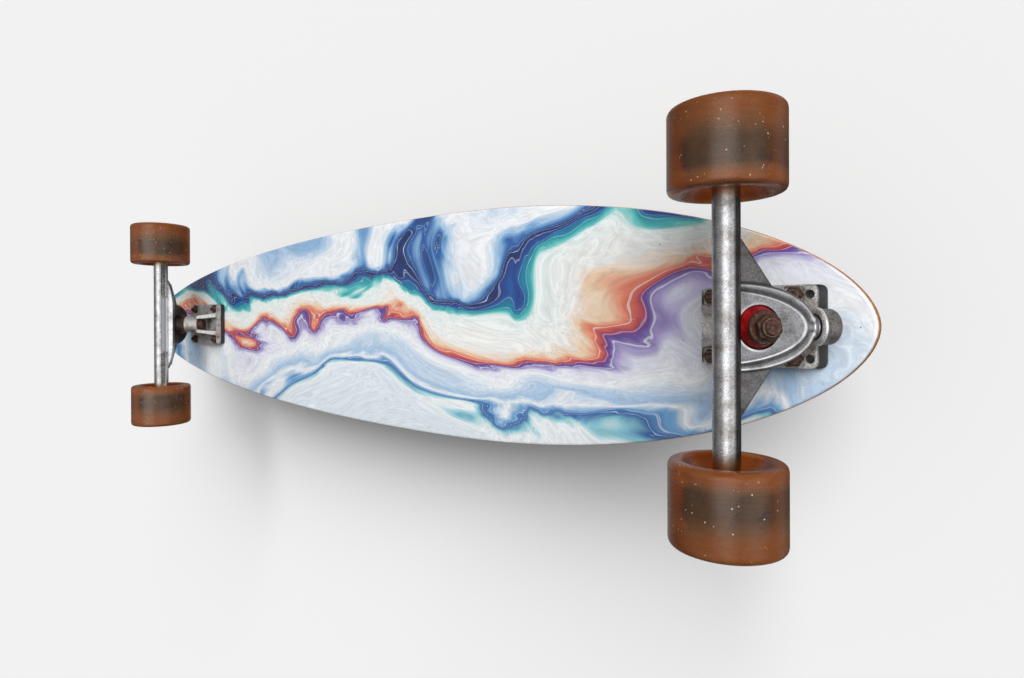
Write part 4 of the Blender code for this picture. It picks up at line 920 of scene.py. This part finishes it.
nut_turn = Matrix.Rotation(KINGPIN_NUT_TURN, 4, "Z")
boardside_washer = cupped_washer("boardside_washer", 12.5 * MM, 13.5 * MM, 0.2 * MM)
roadside_washer = cupped_washer("roadside_washer", 10.6 * MM, -11.9 * MM, 0.6 * MM)
for end, truck in TRUCKS.items():
    steering = truck @ STEERING
    place(f"{end}_kingpin_bolt", kingpin, rust_finish, "root", [f"{end}_kingpin"], steering)
    nut_at = steering @ Matrix.Translation((0, 0, KINGPIN_NUT_SEAT)) @ nut_turn
    place(f"{end}_kingpin_lock_nut", kingpin_nut, rust_finish, "root",
          [f"{end}_kingpin_nut"], nut_at)
    place(f"{end}_kingpin_nylon_ring", kingpin_nylon, nylon_finish, "root", (), nut_at)
    place(f"{end}_boardside_cup_washer", boardside_washer, rust_finish, "root",
          [f"{end}_boardside_washer"], steering)
    place(f"{end}_roadside_cup_washer", roadside_washer, rust_finish, "root",
          [f"{end}_roadside_washer"], steering)


# Bushings. Cast urethane cushions on the kingpin hold the hanger's ring between them and give the
# steering its spring: a dark barrel on the board side, a red cone on the road side.

BUSHING_RADIUS, BUSHING_BORE = 13.2 * MM, 5.06 * MM
BARREL, CONE = (1.8 * MM, 13.2 * MM), (-1.8 * MM, -11.6 * MM)       # from the ring's web outwards
CONE_END_RADIUS = 9.6 * MM

# Cast urethane: a smooth, slightly waxy rubber that light enters a little, hazed in patches, with the
# fine rings of its mould.
red_finish, tree, shader, place_in = finish_of(
    "red cast urethane", IOR=1.5, Subsurface_Weight=0.35, Subsurface_Radius=(1.0, 0.15, 0.1),
    Subsurface_Scale=0.003, Coat_Weight=0.3, Coat_Roughness=0.2)
haze = add(tree, "TexNoise", {"Vector": place_in, "Scale": cells(5), "Detail": 6.0, "Roughness": 0.6})
rings = add(tree, "TexWave", {"Vector": place_in, "Scale": cells(1.4), "Distortion": 1.5},
            bands_direction="Z")
tone = add(tree, "ValToRGB", {"Fac": haze}, stops=[(0.38, "#6c0407"), (0.56, "#96090e"), (0.75, "#b61e1c")])
worn = add(tree, "MapRange", {"Value": haze, "To Min": 0.28, "To Max": 0.55})
bump = add(tree, "Bump", {"Height": rings, "Strength": 0.15, "Distance": 0.08 * MM})
feed(shader, {"Base Color": tone, "Roughness": worn, "Normal": bump})

middle = sum(BARREL) / 2
barrel = turned("barrel_bushing", rounded([
    (BUSHING_BORE, BARREL[0], 0), (BUSHING_RADIUS - 0.3 * MM, BARREL[0], 1.4 * MM),
    (BUSHING_RADIUS, middle, 4 * MM), (BUSHING_RADIUS - 1.0 * MM, BARREL[1], 1.4 * MM),
    (BUSHING_BORE, BARREL[1], 0)], 7))
cone = turned("cone_bushing", rounded([
    (BUSHING_BORE, CONE[0], 0), (BUSHING_RADIUS, CONE[0], 1.0 * MM),
    (BUSHING_RADIUS, CONE[0] - 3.0 * MM, 1.6 * MM), (CONE_END_RADIUS, CONE[1], 1.2 * MM),
    (BUSHING_BORE, CONE[1], 0)], 7))
cushions = (("barrel", barrel, BARREL, rubber_finish, "black_urethane", "boardside_bushing"),
            ("cone", cone, CONE, red_finish, "red_urethane", "roadside_bushing"))
for end, truck in TRUCKS.items():
    for label, mesh, span, finish, slot, node in cushions:
        cushion = mesh.copy()
        cushion.transform(truck @ STEERING)
        cushion.materials.append(finish)
        item = in_scene(f"{end}_{label}_cushion", cushion)
        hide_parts(f"{end}_{node}")
        inner, outer = [tuple(truck @ STEERING @ Vector((0, 0, height))) for height in span]
        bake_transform(item)


# Hangers. Each is one tumbled aluminium casting: a shield-shaped body round the kingpin with a nose
# that turns in the pivot cup, two wings, an arched flange, and a tube for the axle with a cored channel.

AXLE_AT = Vector((-22.2, 0, -7.8)) * MM         # the axle's middle, in the steering frame
BODY_TIP, BODY_HALF = 37.2 * MM, 27.6 * MM
BODY_LAYERS = (     # in mm: height along the kingpin, inset of the sides and of the tip; how pointed
    (5.5, 1.0, 1.0, 0.2), (4.4, 0, -1.6, 0.2), (-2.2, 0, -1.6, 0.2), (-3.7, 0.4, -1.1, 0.25),
    (-4.7, 1.3, 0.1, 0.35), (-4.3, 2.4, 1.6, 0.5), (-4.8, 3.8, 3.7, 0.7), (-5.9, 4.9, 5.6, 0.85),
    (-6.4, 5.6, 6.8, 0.9), (-6.0, 6.8, 8.6, 0.9), (-5.5, 9.5, 13.0, 0.9))
CRESTS = ((1.6, 0.5, 0.35), (5.9, 7.2, 0.9))    # the two ridges that carry painted highlights, likewise
RING_BORE, SEAT_RADIUS, WEB_HALF = 7.96 * MM, 13.7 * MM, 1.5 * MM
NOSE_RADIUS = 5.6 * MM          # thinner than its CAD solid where the body hides it
NOSE_SHOULDER = 8.0 * MM        # closes the view into the pivot cup's mouth
TUBE_RADIUS, TUBE_HALF, TUBE_BORE = 8.25 * MM, 91.5 * MM, 4.3 * MM
WING = ((-22.2, 54), (-10, 54), (10, 25))       # one side's corners in mm, towards the tip, outwards
WING_LOW, WING_HIGH = -3.2 * MM, 0.6 * MM
FLANGE_ARCH = ((0, 62), (4, 62), (8.3, 57), (11.3, 48), (13.3, 40), (14.4, 30))    # rise, outwards
FLANGE_THICKNESS = 7 * MM
CHANNEL_REACH = 13 * MM         # from the axle, past the tube's skin
CHANNEL_TURNS = (160, 97)       # degrees round the axle, on the deck side of the inboard face
LONG_CHANNEL = ((-36, 5.9, CHANNEL_TURNS), (36, 5.9, CHANNEL_TURNS))      # outwards, floor's radius
END_CHANNEL = ((35.0, 5.6, (134, 123)), (36.0, 5.0, (146, 111)), (38.4, 4.6, CHANNEL_TURNS),
               (62, 4.6, (160, 100)), (88, 5.4, (157, 118)))

# Tumbled aluminium: cast, then tumbled with stones to a satin skin. Its ridges carry painted highlights. It
# has fine dark pits, a brown film where road dirt stays, and an as-cast dark skin in the channel's ends.
# Painted shade darkens its deck side and a strip along the tube, and a painted golden reflection lies on
# the tube's ends.
tumbled_finish, tree, shader, place_in = finish_of("tumbled aluminium")
spot = add(tree, "SeparateXYZ", {0: place_in})
outwards = add(tree, "Math", {0: spot.outputs["Y"]}, operation="ABSOLUTE")
grain = add(tree, "TexNoise", {"Vector": place_in, "Scale": cells(0.9), "Detail": 4.0, "Roughness": 0.6})
film = add(tree, "TexNoise", {"Vector": place_in, "Scale": cells(13), "Detail": 6.0, "Roughness": 0.6})
dirt = add(tree, "ValToRGB", {"Fac": film}, stops=[(0.45, "#ffffff"), (0.72, "#b0a59b")])

# Pits lie in patches.
pits = add(tree, "TexVoronoi", {"Vector": place_in, "Scale": cells(1.6)})
pits = add(tree, "ValToRGB", {"Fac": pits.outputs["Distance"]}, stops=[(0.08, 1.0), (0.2, 0.0)])
pitted = add(tree, "TexNoise", {"Vector": place_in, "Scale": cells(6), "Detail": 3.0})
pitted = add(tree, "ValToRGB", {"Fac": pitted}, stops=[(0.48, 0.0), (0.62, 0.8)])
pits = add(tree, "Math", {0: pits, 1: pitted}, operation="MULTIPLY")

# The body is darker than the tube, and painted shade darkens it most above its road face, on its deck side.
beyond_tube = add(tree, "MapRange", {"Value": spot.outputs["X"], "From Min": -15 * MM,
                                     "From Max": -12.5 * MM})
above_face = add(tree, "MapRange", {"Value": spot.outputs["Z"], "From Min": -4.1 * MM,
                                    "From Max": -3.2 * MM})
darker_body = add(tree, "Mix", {"Factor": above_face, "A": paint("#d6d6d8"), "B": paint("#9c9998")},
                data_type="RGBA")

# Painted shade darkens a strip along one flank of the tube, and the channel and its deep ends are darker
# too; the ends are speckled.
off_axle = add(tree, "VectorMath", {0: place_in, 1: AXLE_AT}, operation="SUBTRACT")
off_axle = add(tree, "VectorMath", {0: off_axle, 1: (1, 0, 1)}, operation="MULTIPLY")
from_axle = add(tree, "VectorMath", {0: off_axle}, operation="LENGTH").outputs["Value"]
shade_strip = add(tree, "VectorMath", {0: off_axle, 1: (0.643, 0, -0.766)}, operation="DOT_PRODUCT")
shade_strip = add(tree, "Math", {0: shade_strip.outputs["Value"], 1: from_axle}, operation="DIVIDE")
shade_strip = add(tree, "MapRange", {"Value": shade_strip, "From Min": 0.80, "From Max": 0.92})
on_skin = add(tree, "MapRange", {"Value": from_axle, "From Min": 9.6 * MM, "From Max": 8.8 * MM})
shade_strip = add(tree, "Math", {0: shade_strip, 1: on_skin}, operation="MULTIPLY")
inside_tube = add(tree, "Math", {0: outwards, 1: TUBE_HALF - 1 * MM}, operation="LESS_THAN")
sunk = add(tree, "MapRange", {"Value": from_axle, "From Min": 7.9 * MM, "From Max": 6.4 * MM})
sunk = add(tree, "Math", {0: sunk, 1: inside_tube}, operation="MULTIPLY")
deep = add(tree, "MapRange", {"Value": from_axle, "From Min": 5.75 * MM, "From Max": 5.5 * MM})
deep = add(tree, "Math", {0: deep, 1: inside_tube}, operation="MULTIPLY")
speckle = add(tree, "TexNoise", {"Vector": place_in, "Scale": cells(1.6), "Detail": 3.0})
speckle = add(tree, "ValToRGB", {"Fac": speckle}, stops=[(0.40, "#4b4845"), (0.6, "#b5b2ae")])

# Painted highlights: the seat's edge is painted bright, most by the tube, and so are the crests, whose
# outline in shield is turned into a distance from it here. They are brighter to one side, and weaker where
# the film is.
from_kingpin = add(tree, "VectorMath", {0: place_in, 1: (1, 1, 0)}, operation="MULTIPLY")
from_kingpin = add(tree, "VectorMath", {0: from_kingpin}, operation="LENGTH").outputs["Value"]
off_edge = add(tree, "Math", {0: from_kingpin, 1: SEAT_RADIUS + 0.7 * MM}, operation="SUBTRACT")
off_edge = add(tree, "Math", {0: off_edge}, operation="ABSOLUTE")
ridge_highlight = add(tree, "MapRange", {"Value": off_edge, "From Min": 0.9 * MM, "From Max": 0.4 * MM})
by_tube = add(tree, "MapRange", {"Value": spot.outputs["X"], "From Min": 6 * MM, "From Max": -7 * MM,
                                 "To Min": 0.1, "To Max": 0.9})
ridge_highlight = add(tree, "Math", {0: ridge_highlight, 1: by_tube}, operation="MULTIPLY")
for sides, tip, pointed in CRESTS:
    length = add(tree, "MapRange", {"Value": spot.outputs["X"], "From Min": AXLE_AT.x,
                                    "From Max": BODY_TIP - tip * MM}, clamp=False)
    length = add(tree, "Math", {0: length, 1: 3 - 1.3 * pointed}, operation="POWER")
    breadth = add(tree, "Math", {0: outwards, 1: BODY_HALF - sides * MM}, operation="DIVIDE")
    breadth = add(tree, "Math", {0: breadth, 1: 2.0}, operation="POWER")
    off_line = add(tree, "Math", {0: length, 1: breadth}, operation="ADD")
    off_line = add(tree, "Math", {0: off_line, 1: 1.0}, operation="SUBTRACT")
    off_line = add(tree, "Math", {0: off_line}, operation="ABSOLUTE")
    line = add(tree, "MapRange", {"Value": off_line, "From Min": 0.06, "From Max": 0.015})
    ridge_highlight = add(tree, "Math", {0: ridge_highlight, 1: line}, operation="MAXIMUM")
road_side = add(tree, "Math", {0: spot.outputs["Z"], 1: -3.9 * MM}, operation="LESS_THAN")
on_body = add(tree, "Math", {0: spot.outputs["X"], 1: BODY_TIP}, operation="LESS_THAN")
brighter_side = add(tree, "MapRange", {"Value": spot.outputs["Y"], "From Min": -18 * MM,
                                   "From Max": 8 * MM, "To Min": 0.4})
cleaner = add(tree, "ValToRGB", {"Fac": film}, stops=[(0.4, 0.9), (0.7, 0.3)])
for share in (road_side, on_body, beyond_tube, brighter_side, cleaner):
    ridge_highlight = add(tree, "Math", {0: ridge_highlight, 1: share}, operation="MULTIPLY")
# Painted reflection: the amber urethane's glow, painted golden on the tube's ends.
golden_reflection = add(tree, "MapRange", {"Value": outwards, "From Min": TUBE_HALF - 16 * MM,
                                "From Max": TUBE_HALF - 4 * MM})

darker_body = add(tree, "Mix", {"Factor": beyond_tube, "A": paint("#ffffff"), "B": darker_body},
                data_type="RGBA")
tone = add(tree, "ValToRGB", {"Fac": grain}, stops=[(0.35, "#9b9b9d"), (0.55, "#c3c4c6"), (0.7, "#dadbde")])
for share, colour, blend in (
        (1.0, dirt, "MULTIPLY"), (1.0, darker_body, "MULTIPLY"), (shade_strip, paint("#7d7a78"), "MULTIPLY"),
        (sunk, paint("#b4b6b8"), "MIX"), (deep, speckle, "MIX"), (pits, paint("#4a4542"), "MIX"),
        (ridge_highlight, paint("#f4f4f5"), "MIX"), (golden_reflection, paint("#f2b866"), "MIX")):
    tone = add(tree, "Mix", {"Factor": share, "A": tone, "B": colour}, data_type="RGBA",
               blend_type=blend)
rough = add(tree, "MapRange", {"Value": film, "To Min": 0.26, "To Max": 0.46})
for share, change in ((beyond_tube, 0.08), (ridge_highlight, -0.12), (sunk, 0.22)):
    rough = add(tree, "Math", {0: share, 1: change, 2: rough}, operation="MULTIPLY_ADD")
metal = add(tree, "Math", {0: sunk, 1: -0.65, 2: 1.0}, operation="MULTIPLY_ADD")
relief = add(tree, "Math", {0: pits, 1: -0.8, 2: grain}, operation="MULTIPLY_ADD")
bump = add(tree, "Bump", {"Height": relief, "Strength": 0.35, "Distance": 0.08 * MM})
feed(shader, {"Base Color": tone, "Metallic": metal, "Roughness": rough, "Normal": bump})


def shield(height, sides, tip, pointed, count=28):
    """The body's outline at one height, set in at its sides and its tip."""
    length = BODY_TIP - tip * MM - AXLE_AT.x
    half = []
    for step in range(count + 1):
        share = math.sin(math.radians(90 * step / count))
        breadth = math.sqrt(1 - share ** (3 - 1.3 * pointed))
        half.append((AXLE_AT.x + length * share, (BODY_HALF - sides * MM) * breadth))
    return [(x, y, height * MM) for x, y in half] + [(x, -y, height * MM) for x, y in half[-2::-1]]


def channel(stops, side=1):
    """A cutter for the channel; each stop along it is (outwards, its floor's radius, its two turns)."""
    sections = []
    for along, floor, turns in stops:
        low, high = [math.radians(turn) for turn in turns]
        angles = [low + (high - low) * step / 10 for step in range(11)]
        arc = [(floor * MM, angle) for angle in angles]
        arc += [(CHANNEL_REACH, angle) for angle in angles[::-1]]
        sections.append([(AXLE_AT.x + radius * math.cos(angle), side * along * MM,
                          AXLE_AT.z + radius * math.sin(angle)) for radius, angle in arc])
    return stacked("channel", sections)


body = stacked("body", [shield(*layer) for layer in BODY_LAYERS])
nose = turned("nose", [
    (0, 16 * MM), (NOSE_RADIUS, 16 * MM), (NOSE_RADIUS, 36.6 * MM), (NOSE_SHOULDER, 37.4 * MM),
    (NOSE_SHOULDER, PIVOT_MOUTH - CLEARANCE), (PIVOT_TIP_RADIUS, PIVOT_MOUTH - CLEARANCE),
    *pivot_tip(PIVOT_TIP_RADIUS)])
wing = slab("wing", mirrored([(x * MM, y * MM) for x, y in WING]), WING_LOW, WING_HIGH)
flange = slab("flange", mirrored([(rise * MM, y * MM) for rise, y in FLANGE_ARCH]), 0, FLANGE_THICKNESS)
flange_at = Matrix.Translation(AXLE_AT) @ Matrix(((0, 0, 1, 0), (0, 1, 0, 0), (1, 0, 0, 0), (0, 0, 0, 1)))
tube = bar("tube", TUBE_RADIUS, -TUBE_HALF, TUBE_HALF)
tube_at = Matrix.Translation(AXLE_AT) @ ACROSS
hanger = fused("hanger_casting", [
    (body, Matrix()), (nose, ALONG_STEERING), (wing, Matrix()), (flange, flange_at), (tube, tube_at)],
    0.6 * MM, 6)

# The tube is turned true: its points go from the fused skin to its own radius.
points = points_of(hanger)
off_axle = points[:, [0, 2]] - np.array([AXLE_AT.x, AXLE_AT.z])
reach = np.linalg.norm(off_axle, axis=1)
on_tube = (np.abs(reach - TUBE_RADIUS) < 0.5 * MM) & (np.abs(points[:, 1]) < TUBE_HALF - 1.5 * MM)
points[on_tube, 0] = AXLE_AT.x + off_axle[on_tube, 0] * TUBE_RADIUS / reach[on_tube]
points[on_tube, 2] = AXLE_AT.z + off_axle[on_tube, 1] * TUBE_RADIUS / reach[on_tube]
hanger.vertices.foreach_set("co", points.astype(np.float32).ravel())

low_seat = turned("low_seat", [(0, -WEB_HALF), (SEAT_RADIUS, -WEB_HALF), (SEAT_RADIUS, -5.4 * MM),
                               (SEAT_RADIUS + 1.0 * MM, -6.5 * MM), (SEAT_RADIUS + 1.0 * MM, -THROUGH),
                               (0, -THROUGH)])
high_seat = bar("high_seat", SEAT_RADIUS, WEB_HALF, THROUGH)
ring_bore = bar("ring_bore", RING_BORE, -THROUGH, THROUGH)
axle_bore = bar("axle_bore", TUBE_BORE, TUBE_HALF - 6 * MM, TUBE_HALF + THROUGH, 32)
other_end = Matrix.Translation(AXLE_AT) @ Matrix.Rotation(math.radians(90), 4, "X")
hanger = worked(hanger, [
    cut(low_seat), cut(high_seat), cut(ring_bore), cut(axle_bore, tube_at), cut(axle_bore, other_end),
    cut(channel(LONG_CHANNEL)), cut(channel(END_CHANNEL)), cut(channel(END_CHANNEL, -1))])
for end, truck in TRUCKS.items():
    place(f"{end}_hanger_casting", hanger, tumbled_finish, f"{end}_hanger",
          [f"{end}_hanger"], truck @ STEERING)


# Axles. A round steel axle is cast into each hanger, with a rolled thread and a lock nut at both ends.

AXLE_RADIUS, AXLE_HALF, AXLE_PLAIN, AXLE_PITCH = 4.0 * MM, 127.2 * MM, 112 * MM, 1.06 * MM
WHEEL_Y = 104.6 * MM
AXLE_NUT_SEAT, AXLE_NUT_FLATS, AXLE_NUT_HEIGHT = 13.1 * MM, 13.0 * MM, 8.0 * MM

# Zinc-plated steel: bright and slightly blue, with fine turning marks and some grey bloom.
zinc_finish, tree, shader, place_in = finish_of("zinc-plated steel", Metallic=1.0)
bloom = add(tree, "TexNoise", {"Vector": place_in, "Scale": cells(4), "Detail": 6.0, "Roughness": 0.65})
turned_about = add(tree, "Mapping", {"Vector": place_in, "Scale": (0.05, 0.05, 1)})
lines = add(tree, "TexNoise", {"Vector": turned_about, "Scale": cells(0.5), "Detail": 2.0})
tone = add(tree, "ValToRGB", {"Fac": bloom}, stops=[(0.36, "#7d7872"), (0.5, "#aeb0b3"), (0.68, "#ccd0d4")])
rough = add(tree, "MapRange", {"Value": bloom, "To Min": 0.45, "To Max": 0.22})
bump = add(tree, "Bump", {"Height": lines, "Strength": 0.3, "Distance": 0.03 * MM})
feed(shader, {"Base Color": tone, "Roughness": rough, "Normal": bump})

axle = threaded("axle_rod", AXLE_RADIUS, -AXLE_HALF, AXLE_HALF, AXLE_PITCH, (-AXLE_PLAIN, AXLE_PLAIN))
axle_nut, axle_nylon = lock_nut("axle_nut", AXLE_NUT_FLATS, AXLE_NUT_HEIGHT, AXLE_RADIUS + 0.08 * MM)
nut_on_wheel = Matrix.Translation((0, 0, AXLE_NUT_SEAT)) @ Matrix.Rotation(math.pi, 4, "X")
WHEELS = {}                     # each wheel's placement: its axis along Z, its outer side up
for end, truck in TRUCKS.items():
    place(f"{end}_axle_rod", axle, zinc_finish, f"{end}_hanger", [f"{end}_axle"],
          truck @ STEERING @ tube_at)
    for side in (1, -1):
        label = f"{end}_left" if (side == 1) == (end == "front") else f"{end}_right"
        outwards = Matrix.Rotation(STEER_ANGLE, 4, "Y") @ Matrix.Rotation(math.radians(-90 * side), 4, "X")
        wheel_at = Matrix.Translation(AXLE_AT + Vector((0, side * WHEEL_Y, 0)))
        WHEELS[label] = truck @ STEERING @ wheel_at @ outwards
        nut_at = WHEELS[label] @ nut_on_wheel
        place(f"{label}_axle_lock_nut", axle_nut, zinc_finish, f"{end}_hanger",
              [f"{label}_axle_nut"], nut_at)
        place(f"{label}_axle_nylon_ring", axle_nylon, nylon_finish, f"{end}_hanger", (),
              nut_at)


# Wheel cores. A dark nylon core is moulded with ribs and weight-saving pockets at both sides of the
# ledge that parts the two bearings; the urethane is cast round it and shows it through.

CORE_HALF = 12.8 * MM
CORE_BARREL = ((14.6, -12.8), (15.8, -10.8), (16.6, -8.0), (17.0, -4.0))     # radius, along, in mm
BEARING_RADIUS, BEARING_WIDTH, BEARING_AT = 11.0 * MM, 7.0 * MM, 8.7 * MM
LEDGE_BORE, LEDGE_HALF = 9.0 * MM, 4.9 * MM
POCKETS, POCKET_DEPTH = 10, 5 * MM
POCKET_RADII = (12.2 * MM, 13.8 * MM)

# Glass-filled nylon: moulded dark grey-green, matt, with a fine flow pattern.
core_finish, tree, shader, place_in = finish_of("glass-filled nylon", IOR=1.53)
flow = add(tree, "TexNoise", {"Vector": place_in, "Scale": cells(3), "Detail": 6.0, "Roughness": 0.6})
tone = add(tree, "ValToRGB", {"Fac": flow}, stops=[(0.38, "#1b1e1b"), (0.55, "#2c302b"), (0.74, "#4c4f45")])
rough = add(tree, "MapRange", {"Value": flow, "To Min": 0.45, "To Max": 0.7})
bump = add(tree, "Bump", {"Height": flow, "Strength": 0.3, "Distance": 0.1 * MM})
feed(shader, {"Base Color": tone, "Roughness": rough, "Normal": bump})

seat = BEARING_RADIUS + 0.05 * MM
core_rim = [(radius * MM, along * MM) for radius, along in CORE_BARREL]
core = turned("core", mirrored([
    (LEDGE_BORE, -LEDGE_HALF), (seat, -LEDGE_HALF), (seat, -CORE_HALF + 0.5 * MM),
    (seat + 0.5 * MM, -CORE_HALF), *core_rim]), 96)
pocket_turn = math.radians(180 / POCKETS - 5)       # leaves ribs of 10 degrees between the pockets
pocket_corners = mirrored([(radius * math.cos(turn), -radius * math.sin(turn), 0.8 * MM)
                           for radius, turn in zip(POCKET_RADII, (0.9 * pocket_turn, pocket_turn))])
pocket = slab("core_pocket", rounded(pocket_corners, 3), CORE_HALF - POCKET_DEPTH, CORE_HALF + THROUGH)
cuts = []
for step in range(POCKETS):
    spin = Matrix.Rotation(math.tau * step / POCKETS, 4, "Z")
    cuts += [cut(pocket, spin), cut(pocket, spin @ Matrix.Rotation(math.pi, 4, "X"))]
core = worked(core, cuts)
for label, spindle in WHEELS.items():
    place(f"{label}_core_moulding", core, core_finish, f"{label}_wheel", [f"{label}_core"],
          spindle)


# Bearings. Two 22 mm ball bearings with pressed steel dust covers sit in each core. A speed washer lies
# between them and the hanger, and another between them and the axle nut.

RACE_OUT, RACE_IN = 9.7 * MM, 6.1 * MM
WASHER_HALF = 0.4 * MM
half = BEARING_WIDTH / 2
outer_race = turned("outer_race", rounded(mirrored([
    (RACE_OUT, -half, 0), (BEARING_RADIUS, -half, 0.4 * MM)]), 3))
inner_race = turned("inner_race", rounded(mirrored([
    (AXLE_RADIUS + 0.03 * MM, -half, 0.3 * MM), (RACE_IN, -half, 0)]), 3))
dust_cover = turned("dust_cover", rounded([
    (RACE_IN + 0.25 * MM, half - 0.9 * MM, 0), (RACE_OUT - 0.8 * MM, half - 0.7 * MM, 0.2 * MM),
    (RACE_OUT, half - 0.25 * MM, 0.2 * MM), (RACE_OUT, half - 1.3 * MM, 0),
    (RACE_IN + 0.25 * MM, half - 1.3 * MM, 0)], 3))
bearing = smoothed(joined("bearing", [
    (outer_race, Matrix()), (inner_race, Matrix()), (dust_cover, Matrix()),
    (dust_cover, Matrix.Rotation(math.pi, 4, "X"))]))
speed_washer = turned("speed_washer", rounded(mirrored([
    (AXLE_RADIUS + 0.1 * MM, -WASHER_HALF, 0), (RACE_IN, -WASHER_HALF, 0.2 * MM)]), 3), 48)
washer_at = BEARING_AT + half + WASHER_HALF + 0.05 * MM
for label, spindle in WHEELS.items():
    end = label.split("_")[0]
    for name, side in (("inner", -1), ("outer", 1)):
        place(f"{label}_{name}_ball_bearing", bearing, zinc_finish, f"{label}_wheel",
              [f"{label}_{name}_bearing"], spindle @ Matrix.Translation((0, 0, side * BEARING_AT)))
        place(f"{label}_{name}_speed_washer", speed_washer, zinc_finish, f"{end}_hanger",
              (), spindle @ Matrix.Translation((0, 0, side * washer_at)))


# Tyres. Clear amber urethane is cast round each core and its tread turned flat; years of road have
# dulled it, dusted it and knocked small chips into its edges.

TYRE_RADIUS, TYRE_HALF, LIP_ROUNDING = 34.5 * MM, 25.5 * MM, 4.5 * MM
MOUTH_RADIUS, RECESS_RADIUS = 26.2 * MM, 15.1 * MM
OVERLAP = 0.2 * MM              # the urethane's skin lies inside the core's, so no air gap shows

# Translucent urethane: the core shows through a worn surface that scatters light, and amber deepens to
# brown where light goes a long way through. Past the core it is milkier, and painted shade darkens its
# mouths. Fine lines run round the tread from the road, with pale chips and scratches.
tyre_finish, tree, shader, place_in = finish_of(
    "translucent amber urethane", IOR=1.52, Specular_IOR_Level=0.18)
haze = add(tree, "TexNoise", {"Vector": place_in, "Scale": cells(14), "Detail": 6.0, "Roughness": 0.62})
round_tread = add(tree, "Mapping", {"Vector": place_in, "Scale": (0.06, 0.06, 1)})
lines = add(tree, "TexNoise", {"Vector": round_tread, "Scale": cells(0.9), "Detail": 3.0})
streaks = add(tree, "ValToRGB", {"Fac": lines}, stops=[(0.36, 0.72), (0.62, 1.0)])
some = add(tree, "TexNoise", {"Vector": place_in, "Scale": cells(12), "Detail": 2.0})
some = add(tree, "ValToRGB", {"Fac": some}, stops=[(0.47, 0.0), (0.54, 1.0)])
chips = add(tree, "TexVoronoi", {"Vector": place_in, "Scale": cells(4.0)})
chips = add(tree, "ValToRGB", {"Fac": chips.outputs["Distance"]}, stops=[(0.06, 1.0), (0.12, 0.0)])
chips = add(tree, "Math", {0: chips, 1: some}, operation="MULTIPLY")
slanted = add(tree, "Mapping", {"Vector": place_in, "Rotation": (0.2, 0.6, 0.4), "Scale": (0.05, 1, 1)})
scratches = add(tree, "TexNoise", {"Vector": slanted, "Scale": cells(0.8), "Detail": 2.0})
scratches = add(tree, "ValToRGB", {"Fac": scratches}, stops=[(0.70, 0.0), (0.75, 0.5)])
scratches = add(tree, "Math", {0: scratches, 1: some}, operation="MULTIPLY")
chips = add(tree, "Math", {0: chips, 1: scratches}, operation="MAXIMUM")

# Where the urethane is milky, and where painted shade darkens it.
from_axle = add(tree, "Mapping", {"Vector": place_in, "Scale": (1, 1, 0)})
from_axle = add(tree, "VectorMath", {"Vector": from_axle}, operation="LENGTH").outputs["Value"]
mouth_shade = add(tree, "MapRange", {"Value": from_axle, "From Min": MOUTH_RADIUS + 0.4 * MM,
                                  "From Max": MOUTH_RADIUS - 1.5 * MM})
along = add(tree, "SeparateXYZ", {0: place_in}).outputs["Z"]
kerb_end = add(tree, "MapRange", {"Value": along, "From Min": 0, "From Max": 15 * MM})
truck_end = add(tree, "MapRange", {"Value": along, "From Min": -13 * MM, "From Max": -20 * MM})
past_core = add(tree, "Math", {0: kerb_end, 1: truck_end}, operation="MAXIMUM")

tone = add(tree, "ValToRGB", {"Fac": haze}, stops=[(0.4, "#c4854c"), (0.62, "#d59c66"), (0.8, "#e4bb90")])
for share, colour, blend in (
        (1.0, streaks, "MULTIPLY"), (chips, paint("#efeae4"), "MIX"),
        (past_core, paint("#f0c8a4"), "MULTIPLY"), (mouth_shade, paint("#7a360c"), "MIX")):
    tone = add(tree, "Mix", {"Factor": share, "A": tone, "B": colour}, data_type="RGBA",
               blend_type=blend)
dusty = add(tree, "Math", {0: lines, 1: 0.3}, operation="MULTIPLY")
dusty = add(tree, "Math", {0: haze, 1: 0.55, 2: dusty}, operation="MULTIPLY_ADD")
clear = add(tree, "ValToRGB", {"Fac": dusty}, stops=[(0.34, 0.86), (0.52, 0.965)])
clear = add(tree, "Math", {0: past_core, 1: -0.26, 2: clear}, operation="MULTIPLY_ADD")
clear = add(tree, "Math", {0: clear, 1: chips}, operation="SUBTRACT", use_clamp=True)
rough = add(tree, "MapRange", {"Value": haze, "To Min": 0.2, "To Max": 0.32})
relief = add(tree, "Math", {0: chips, 1: -1.0, 2: lines}, operation="MULTIPLY_ADD")
bump = add(tree, "Bump", {"Height": relief, "Strength": 0.35, "Distance": 0.12 * MM})
feed(shader, {"Base Color": tone, "Transmission Weight": clear, "Roughness": rough, "Normal": bump})
amber = add(tree, "VolumeAbsorption", {"Color": (0.78, 0.58, 0.16, 1), "Density": 84.0})
feed(tree.nodes["Material Output"], {"Volume": amber})

lip = 0.6 * MM
tyre = turned("tyre", rounded(mirrored([
    *[(radius - OVERLAP, along, 0) for radius, along in core_rim[::-1]],
    (RECESS_RADIUS, -CORE_HALF - 0.1 * MM, 0.3 * MM), (MOUTH_RADIUS - lip, -TYRE_HALF + 2 * lip, lip),
    (MOUTH_RADIUS + lip, -TYRE_HALF, lip), (TYRE_RADIUS, -TYRE_HALF, LIP_ROUNDING)]), 8), 128)
for label, spindle in WHEELS.items():
    place(f"{label}_tyre_urethane", tyre, tyre_finish, f"{label}_wheel",
          [f"{label}_tyre"], spindle)
